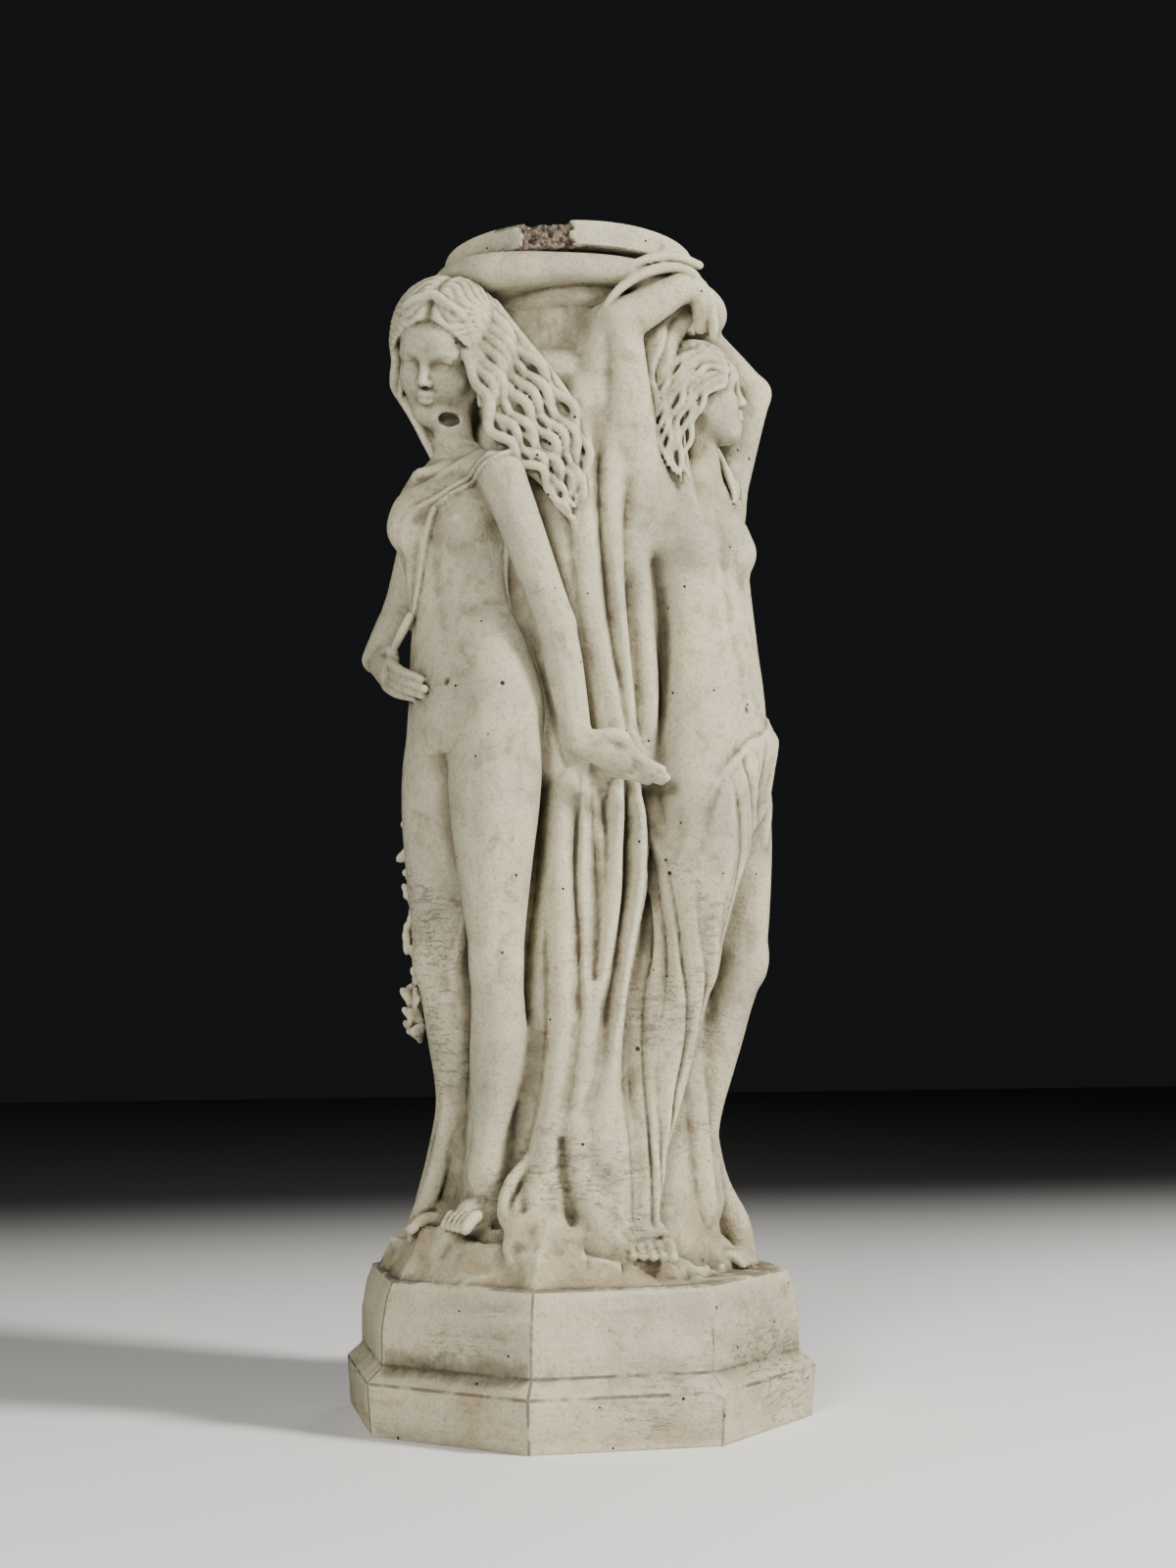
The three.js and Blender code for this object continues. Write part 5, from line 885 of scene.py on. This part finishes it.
# The garland: leaves and five-petalled flowers that hang from the third grace's hand, each pressed
# on as a small lump of clay at its own tilt.
rng = np.random.default_rng(11)
for i in range(70):
    t = i / 69
    a = 244 - 10 * math.sin(t * 3.0) + rng.uniform(-7, 7)
    R = 106 + 6 * math.sin(t * math.pi) + rng.uniform(-4, 6)
    leaf = standing(a).turned((0, R, 392 - 150 * t + rng.uniform(-3, 3)), rng.uniform(-50, 50),
                              rng.uniform(-40, 40), rng.uniform(0, 180))
    if i % 5 == 2:
        for s in range(5):
            q = math.radians(72 * s)
            ball(leaf, (5 * math.cos(q), 3, 5 * math.sin(q)), (3.8, 2.4, 3.8), .8)
        ball(leaf, (0, 5, 0), 2.4, .6)
    else:
        ball(leaf, (0, 2, 0), (9 + rng.uniform(-2, 2), 2.6, 4.6), 1.0)


# The casting: the clay's surface turned into one closed mesh of cast stone, in one piece, which rests
# on its underside. Each cell that the surface crosses gives one corner of the skin, and each crossing
# one facet. The skin is then thinned to the number of facets that the part may have.
def skin(clay):
    f = clay.field
    inside = f < 0
    cells = tuple(n - 1 for n in f.shape)
    count = np.zeros(cells, np.int8)
    steps = [(i, j, k) for i in (0, 1) for j in (0, 1) for k in (0, 1)]
    for i, j, k in steps:
        count += inside[i:i + cells[0], j:j + cells[1], k:k + cells[2]]
    at = np.array(np.nonzero((count > 0) & (count < 8)))
    del count
    values = {s: f[at[0] + s[0], at[1] + s[1], at[2] + s[2]] for s in steps}
    place = np.zeros((3, at.shape[1]), np.float32)
    hits = np.zeros(at.shape[1], np.float32)
    for s in steps:
        for axis in range(3):
            if s[axis]:
                continue
            e = tuple(v + (n == axis) for n, v in enumerate(s))
            a, b = values[s], values[e]
            cross = (a < 0) != (b < 0)
            t = np.where(cross, a / np.where(cross, a - b, 1), 0)
            for n in range(3):
                place[n] += np.where(cross, s[n] + (t if n == axis else 0), 0)
            hits += cross
    points = (at + place / hits).T * clay.cell + clay.low
    name = np.full(cells, -1, np.int32)
    name[tuple(at)] = np.arange(at.shape[1])
    facets = []
    for axis in range(3):
        u, v = (axis + 1) % 3, (axis + 2) % 3
        a = np.take(inside, range(cells[axis]), axis)
        b = np.take(inside, range(1, cells[axis] + 1), axis)
        e = np.array(np.nonzero(a != b))
        e = e[:, (e[u] > 0) & (e[v] > 0) & (e[u] < cells[u]) & (e[v] < cells[v])]
        ring = []
        for du, dv in ((-1, -1), (0, -1), (0, 0), (-1, 0)):
            q = e.copy()
            q[u] += du
            q[v] += dv
            ring.append(name[tuple(q)])
        ring = np.stack(ring, 1)
        out = a[tuple(e)]
        facets.append(np.where(out[:, None], ring, ring[:, ::-1]))
    return points, np.concatenate(facets)


def mesh_from(name, points, facets):
    mesh = bpy.data.meshes.new(name)
    n = facets.shape[1]
    mesh.vertices.add(len(points))
    mesh.vertices.foreach_set("co", (points / 1000).astype(np.float32).ravel())
    mesh.loops.add(facets.size)
    mesh.loops.foreach_set("vertex_index", facets.astype(np.int32).ravel())
    mesh.polygons.add(len(facets))
    mesh.polygons.foreach_set("loop_start", np.arange(0, facets.size, n, dtype=np.int32))
    mesh.update()
    mesh.validate()
    return mesh


FACETS = 190000
points, facets = skin(clay)
mesh = mesh_from("graces_stone", points, facets)
graces = bpy.data.objects.new("graces_stone", mesh)
bpy.context.collection.objects.link(graces)
thin = graces.modifiers.new("thin", "DECIMATE")
thin.ratio = min(1.0, FACETS / (2 * len(facets)))
bpy.context.view_layer.update()
mesh = bpy.data.meshes.new_from_object(graces.evaluated_get(bpy.context.evaluated_depsgraph_get()))
mesh.name = "graces_stone"
graces.modifiers.clear()
graces.data = mesh
mesh.polygons.foreach_set("use_smooth", np.ones(len(mesh.polygons), bool))


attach(graces, "root")
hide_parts("three_graces_casting")


# What the stone's colours follow: how much stone lies near each place, within a few millimetres
# (hollow) and within about a centimetre (shelter), and where the rim has broken away (broken).
def around(solid, reach):
    n = max(1, int(round(reach / clay.cell)))
    out = solid
    for axis in range(3):
        sums = np.cumsum(np.pad(out, [(n + 1, n) if i == axis else (0, 0) for i in range(3)], mode="edge"),
                         axis=axis, dtype=np.float32)
        hi = np.take(sums, range(2 * n + 1, sums.shape[axis]), axis)
        lo = np.take(sums, range(0, sums.shape[axis] - 2 * n - 1), axis)
        out = ((hi - lo) / (2 * n + 1)).astype(np.float32)
    return out


def sample(grid, points):
    q = (points - clay.low) / clay.cell
    i = np.clip(np.floor(q).astype(np.int32), 0, np.array(grid.shape) - 2)
    w = np.clip(q - i, 0, 1)
    out = 0
    for a in (0, 1):
        for b in (0, 1):
            for c in (0, 1):
                m = np.abs(1 - a - w[:, 0]) * np.abs(1 - b - w[:, 1]) * np.abs(1 - c - w[:, 2])
                out = out + m * grid[i[:, 0] + a, i[:, 1] + b, i[:, 2] + c]
    return out


co = np.zeros(len(mesh.vertices) * 3, np.float32)
mesh.vertices.foreach_get("co", co)
co = co.reshape(-1, 3).astype(float) * 1000
solid = (clay.field < 0).astype(np.float32)
NEAR, WIDE = 3.2, 11.0
for name, reach in (("hollow", NEAR), ("shelter", WIDE)):
    value = sample(around(solid, reach), co)
    mesh.attributes.new(name, "FLOAT", "POINT").data.foreach_set("value", value.astype(np.float32))
del solid


az, reach, z = np.degrees(np.arctan2(co[:, 0], -co[:, 1])), np.hypot(co[:, 0], co[:, 1]), co[:, 2]
broken = (np.abs(az - CHIP_AZIMUTH) < 24) & (z > 740) & (z < 759.3) & (reach > 58) & (reach < 83.6)
mesh.attributes.new("broken", "FLOAT", "POINT").data.foreach_set("value", broken.astype(np.float32))


# The stone: pale cement and sand, weathered outdoors. It has cream and grey clouds, dirt and painted shade
# in the hollows, clean worn edges, pinholes painted near black as shade, short level scratches low down,
# and buff earth round the foot.
class Net:
    def __init__(self, tree):
        self.tree = tree

    def node(self, kind, values=(), **settings):
        node = self.tree.nodes.new(kind)
        for name, value in settings.items():
            setattr(node, name, value)
        for socket, value in dict(values).items():
            self.put(node.inputs[socket], value)
        return node

    def put(self, socket, value):
        if isinstance(value, bpy.types.NodeSocket):
            self.tree.links.new(value, socket)
        else:
            socket.default_value = value

    def sum(self, operation, a, b=0.0):
        return self.node("ShaderNodeMath", {0: a, 1: b}, operation=operation).outputs[0]

    def times(self, a, b):
        return self.sum("MULTIPLY", a, b)

    def plus(self, a, b):
        return self.sum("ADD", a, b)

    def less(self, a, b):
        return self.sum("SUBTRACT", a, b)

    def most(self, a, b):
        return self.sum("MAXIMUM", a, b)

    def spread(self, value, low, high, start=0.0, end=1.0):
        values = {"Value": value, "From Min": low, "From Max": high, "To Min": start, "To Max": end}
        return self.node("ShaderNodeMapRange", values, interpolation_type="SMOOTHSTEP").outputs["Result"]

    def stretched(self, place, scale):
        return self.node("ShaderNodeMapping", {"Vector": place, "Scale": scale}).outputs["Vector"]

    def noise(self, place, scale, detail=4.0, roughness=0.55, warp=0.0):
        values = {"Vector": place, "Scale": scale, "Detail": detail, "Roughness": roughness,
                  "Distortion": warp}
        return self.node("ShaderNodeTexNoise", values).outputs["Fac"]

    def mix(self, share, a, b):
        node = self.node("ShaderNodeMix", data_type="RGBA")
        self.put(node.inputs[0], share)
        self.put(node.inputs[6], a)
        self.put(node.inputs[7], b)
        return node.outputs[2]


def group(name, inputs, outputs):
    tree = bpy.data.node_groups.new(name, "ShaderNodeTree")
    for label, kind in inputs:
        tree.interface.new_socket(label, in_out="INPUT", socket_type="NodeSocket" + kind)
    for label, kind in outputs:
        tree.interface.new_socket(label, in_out="OUTPUT", socket_type="NodeSocket" + kind)
    net = Net(tree)
    net.given = tree.nodes.new("NodeGroupInput").outputs
    net.out = tree.nodes.new("NodeGroupOutput").inputs
    return net


# cream and grey clouds with blue-grey smudges
g = group("stone_clouds", [("Place", "Vector"), ("Cream", "Color"), ("Grey", "Color"),
                           ("Smudge", "Color")], [("Color", "Color")])
place = g.given["Place"]
cloud = g.spread(g.noise(place, 9.0, 6.0, 0.62, 0.4), 0.36, 0.66)
base = g.mix(cloud, g.given["Cream"], g.given["Grey"])
smudge = g.spread(g.noise(place, 26.0, 7.0, 0.68, 0.8), 0.54, 0.76, 0.0, 0.62)
base = g.mix(smudge, base, g.given["Smudge"])
grain = g.noise(place, 420.0, 3.0, 0.7)
base = g.mix(g.spread(grain, 0.50, 0.66, 0.0, 0.42), base, g.given["Smudge"])
g.put(g.out["Color"], base)


# dirt and painted shade in the hollows and sheltered places, darker where more stone lies near, and the
# worn edges that stay clean
g = group("stone_dirt_and_shade", [("Place", "Vector"), ("Hollow", "Float"), ("Shelter", "Float")],
          [("Dirt and Shade", "Float"), ("Shade and Dirt Veil", "Float"), ("Worn", "Float")])
place = g.given["Place"]
spots = g.noise(place, 60.0, 6.0, 0.7, 0.5)
near = g.plus(g.given["Hollow"], g.times(g.less(spots, 0.5), 0.34))
wide = g.plus(g.given["Shelter"], g.times(g.less(spots, 0.5), 0.4))
g.put(g.out["Dirt and Shade"], g.most(g.spread(near, 0.55, 0.70), g.spread(wide, 0.58, 0.80, 0.0, 0.85)))
g.put(g.out["Shade and Dirt Veil"], g.most(g.spread(near, 0.47, 0.58, 0.0, 0.9), g.spread(wide, 0.44, 0.66)))
g.put(g.out["Worn"], g.spread(near, 0.46, 0.32))


# pinholes left by air in the mix, few and small
g = group("stone_pinholes", [("Place", "Vector"), ("Scale", "Float"), ("Share", "Float"),
                             ("Size", "Float")], [("Hole", "Float")])
cells = g.node("ShaderNodeTexVoronoi", {"Vector": g.given["Place"], "Scale": g.given["Scale"]})
some = g.node("ShaderNodeSeparateColor", {"Color": cells.outputs["Color"]}).outputs["Red"]
some = g.sum("LESS_THAN", some, g.given["Share"])
hole = g.times(g.spread(g.sum("DIVIDE", cells.outputs["Distance"], g.given["Size"]), 1.0, 0.7), some)
g.put(g.out["Hole"], hole)


# a skin scratched and pitted in short level strokes
g = group("stone_scratches", [("Place", "Vector"), ("Low", "Float"), ("High", "Float")],
          [("Scratch", "Float")])
height = g.node("ShaderNodeSeparateXYZ", {"Vector": g.given["Place"]}).outputs["Z"]
strokes = g.noise(g.stretched(g.given["Place"], (1.0, 1.0, 3.6)), 105.0, 6.0, 0.72, 0.3)
patches = g.noise(g.given["Place"], 13.0, 4.0, 0.6)
inside = g.times(g.spread(height, g.less(g.given["Low"], 0.02), g.given["Low"]),
                 g.spread(height, g.plus(g.given["High"], 0.06), g.given["High"]))
mask = g.times(g.spread(strokes, 0.54, 0.62), g.spread(patches, 0.50, 0.64))
g.put(g.out["Scratch"], g.times(mask, inside))


def place_group(net, name, values):
    node = net.tree.nodes.new("ShaderNodeGroup")
    node.node_tree = bpy.data.node_groups[name]
    for socket, value in values.items():
        net.put(node.inputs[socket], value)
    return node.outputs


stone = bpy.data.materials.new("cast_stone")
stone.use_nodes = True
net = Net(stone.node_tree)
place = net.node("ShaderNodeTexCoord").outputs["Object"]
height = net.node("ShaderNodeSeparateXYZ", {"Vector": place}).outputs["Z"]
hollow, shelter, chip = (net.node("ShaderNodeAttribute", attribute_name=name).outputs["Fac"]
                         for name in ("hollow", "shelter", "broken"))
CREAM, GREY, SMUDGE = (0.52, 0.47, 0.32, 1), (0.36, 0.335, 0.24, 1), (0.19, 0.18, 0.14, 1)
EARTH, SCRATCHED, WORN = (0.33, 0.25, 0.135, 1), (0.22, 0.19, 0.13, 1), (0.62, 0.575, 0.42, 1)
SHADE_AND_DIRT_VEIL, DIRT_AND_SHADE, PINHOLE_SHADE = (0.17, 0.145, 0.09, 1), (0.05, 0.038, 0.024, 1), (0.03, 0.026, 0.02, 1)
LINE_DIRT_AND_SHADOW, DARK_GRAIN, PALE_GRAIN = (0.07, 0.06, 0.042, 1), (0.04, 0.03, 0.022, 1), (0.40, 0.29, 0.21, 1)
clouds = {"Place": place, "Cream": CREAM, "Grey": GREY, "Smudge": SMUDGE}
colour = place_group(net, "stone_clouds", clouds)["Color"]
dirt_and_shade = place_group(net, "stone_dirt_and_shade", {"Place": place, "Hollow": hollow, "Shelter": shelter})
scratch = place_group(net, "stone_scratches", {"Place": place, "Low": 0.11, "High": 0.34})["Scratch"]
streak = place_group(net, "stone_scratches", {"Place": place, "Low": -0.02, "High": 0.05})["Scratch"]
scratch = net.most(scratch, streak)
small = place_group(net, "stone_pinholes",
                    {"Place": place, "Scale": 120.0, "Share": 0.09, "Size": 0.13})["Hole"]
large = place_group(net, "stone_pinholes",
                    {"Place": place, "Scale": 46.0, "Share": 0.05, "Size": 0.075})["Hole"]
hole = net.most(small, large)

# buff earth on the mound, on the foot of the plinth and on the second grace's neck
earth_noise = net.noise(place, 34.0, 6.0, 0.66, 0.5)
mound = net.times(net.spread(height, 0.148, 0.118), net.spread(height, 0.086, 0.094))
foot = net.noise(net.stretched(place, (1.0, 1.0, 7.0)), 17.0, 5.0, 0.62)
foot = net.times(net.spread(foot, 0.46, 0.6), net.spread(height, 0.042, 0.03))
neck = net.node("ShaderNodeVectorMath", {0: place, 1: (0.066, -0.062, 0.60)},
                operation="DISTANCE").outputs["Value"]
neck = net.spread(neck, 0.045, 0.015, 0.0, 0.8)
earth = net.most(net.most(mound, neck), foot)
earth = net.times(earth, net.spread(earth_noise, 0.40, 0.58))
colour = net.mix(net.times(earth, 0.62), colour, EARTH)
colour = net.mix(net.times(scratch, 0.3), colour, SCRATCHED)
# painted shade and dirt: a dark veil over sheltered places, where shade falls
colour = net.mix(net.times(dirt_and_shade["Shade and Dirt Veil"], 0.8), colour, SHADE_AND_DIRT_VEIL)
colour = net.mix(net.times(dirt_and_shade["Worn"], 0.45), colour, WORN)
# painted shade and dirt: near black deep in the hollows
colour = net.mix(net.times(dirt_and_shade["Dirt and Shade"], 0.9), colour, DIRT_AND_SHADE)
rough_stone = net.noise(place, 190.0, 4.0, 0.7)
aggregate = net.mix(net.spread(rough_stone, 0.42, 0.60), DARK_GRAIN, PALE_GRAIN)
colour = net.mix(net.times(chip, 0.85), colour, aggregate)
# painted shade: the pinholes are coloured near black, for the shade inside them
colour = net.mix(hole, colour, PINHOLE_SHADE)

# thin dark lines of dirt along the plinth's arrises and steps, and a painted shadow line where the rim
# rests on the roll
sides = net.node("ShaderNodeSeparateXYZ", {"Vector": place}).outputs
HALF_FACE, ARRIS_REACH = 0.3927, 0.145
# the last height is the rim's seat on the roll, where the painted shadow line goes
STEPS = (0.0312, 0.0415, 0.0905, 0.7425)
round_it = net.sum("ARCTAN2", sides["X"], net.times(sides["Y"], -1.0))
line_dirt_and_rim_shadow = net.times(net.sum("PINGPONG", net.less(round_it, HALF_FACE), HALF_FACE), ARRIS_REACH)
line_dirt_and_rim_shadow = net.times(net.spread(line_dirt_and_rim_shadow, 0.0013, 0.0005), net.spread(height, 0.0915, 0.09))
for step in STEPS:
    away = net.sum("ABSOLUTE", net.less(height, step))
    line_dirt_and_rim_shadow = net.most(line_dirt_and_rim_shadow, net.spread(away, 0.0014, 0.0005))
line_dirt_and_rim_shadow = net.times(line_dirt_and_rim_shadow, net.spread(earth_noise, 0.38, 0.56))
# painted shadow and dirt: the line under the rim stands for the shade in the gap, the plinth lines are dirt
colour = net.mix(net.times(line_dirt_and_rim_shadow, 0.75), colour, LINE_DIRT_AND_SHADOW)

relief = net.plus(net.times(net.noise(place, 420.0, 5.0, 0.75), 0.6), net.noise(place, 90.0, 5.0, 0.7))
relief = net.less(relief, net.times(scratch, 0.35))
relief = net.less(relief, net.times(hole, 2.5))
relief = net.plus(relief, net.times(net.times(chip, rough_stone), 4.0))
bump = net.node("ShaderNodeBump", {"Height": relief, "Strength": 0.85, "Distance": 0.0034})
bsdf = stone.node_tree.nodes["Principled BSDF"]
net.put(bsdf.inputs["Base Color"], colour)
net.put(bsdf.inputs["Normal"], bump.outputs["Normal"])
bsdf.inputs["Roughness"].default_value = 0.9
bsdf.inputs["Specular IOR Level"].default_value = 0.25
mesh.materials.clear()
mesh.materials.append(stone)


# The floor: a plain pale sheet that the pedestal stands on, with painted shade darkening it behind, where
# the light falls off.
SHEET = 6
floor_mesh = bpy.data.meshes.new("floor")
floor_mesh.from_pydata([(-SHEET, -SHEET, 0), (SHEET, -SHEET, 0), (SHEET, SHEET, 0), (-SHEET, SHEET, 0)],
                       [], [(0, 1, 2, 3)])
floor = bpy.data.objects.new("floor", floor_mesh)
bpy.context.collection.objects.link(floor)
paper = bpy.data.materials.new("floor_paper")
paper.use_nodes = True
paper.node_tree.nodes["Principled BSDF"].inputs["Roughness"].default_value = 0.9
sheet = Net(paper.node_tree)
depth = sheet.node("ShaderNodeSeparateXYZ", {"Vector": sheet.node("ShaderNodeTexCoord").outputs["Object"]})
# painted shade: the sheet's colour turns near black towards the back, for light falling off
painted_falloff = sheet.spread(depth.outputs["Y"], 0.5, 1.9)
sheet.put(paper.node_tree.nodes["Principled BSDF"].inputs["Base Color"],
          sheet.mix(painted_falloff, (0.70, 0.695, 0.685, 1), (0.02, 0.018, 0.018, 1)))
floor_mesh.materials.append(paper)


# Soft studio light: a key from the upper right, a broad fill from the left and a faint light from
# behind, in a nearly black room.
world = bpy.data.worlds.new("studio") if bpy.context.scene.world is None else bpy.context.scene.world
bpy.context.scene.world = world
world.use_nodes = True
world.node_tree.nodes["Background"].inputs["Color"].default_value = (0.75, 0.78, 0.84, 1)
world.node_tree.nodes["Background"].inputs["Strength"].default_value = 0.012


def lamp(name, place, aim, size, power, colour):
    light = bpy.data.lights.new(name, "AREA")
    light.shape = "DISK"
    light.size = size
    light.energy = power
    light.color = colour
    o = bpy.data.objects.new(name, light)
    o.location = place
    o.rotation_euler = (Vector(aim) - Vector(place)).to_track_quat("-Z", "Y").to_euler()
    bpy.context.collection.objects.link(o)


lamp("key", (1.55, -1.15, 1.45), (0, 0, 0.38), 0.42, 110, (1.0, 0.975, 0.93))
lamp("fill", (-1.0, -1.75, 0.95), (0, 0, 0.42), 0.6, 50, (1.0, 0.985, 0.95))
lamp("back", (0.9, 1.4, 1.5), (0, 0, 0.5), 0.7, 6, (1.0, 1.0, 1.0))


# The camera: where the picture was taken from, in millimetres and degrees round the pedestal, with the
# angles up and across in radians.
AZIMUTH, DISTANCE, EYE_HEIGHT = -12.252, 1405.52, 245.98
ASIDE, LOOK_UP, ROLL = 9.822, 0.112, -0.007
az = math.radians(AZIMUTH)
place = Vector((math.sin(az) * DISTANCE + ASIDE * math.cos(az),
                -math.cos(az) * DISTANCE + ASIDE * math.sin(az), EYE_HEIGHT))
ahead = Vector((-math.sin(az) * math.cos(LOOK_UP), math.cos(az) * math.cos(LOOK_UP), math.sin(LOOK_UP)))
right = Vector((math.cos(az), math.sin(az), 0))
up = right.cross(ahead)
right, up = right * math.cos(ROLL) + up * math.sin(ROLL), up * math.cos(ROLL) - right * math.sin(ROLL)
camera = bpy.data.objects.new("camera", bpy.data.cameras.new("camera"))
camera.data.lens = 48.97
camera.data.sensor_width = 36
camera.data.clip_end = 20
turn = Matrix((right, up, -ahead)).transposed().to_4x4()
camera.matrix_world = Matrix.Translation(place / 1000) @ turn
bpy.context.collection.objects.link(camera)
bpy.context.scene.camera = camera


bpy.context.view_layer.update()
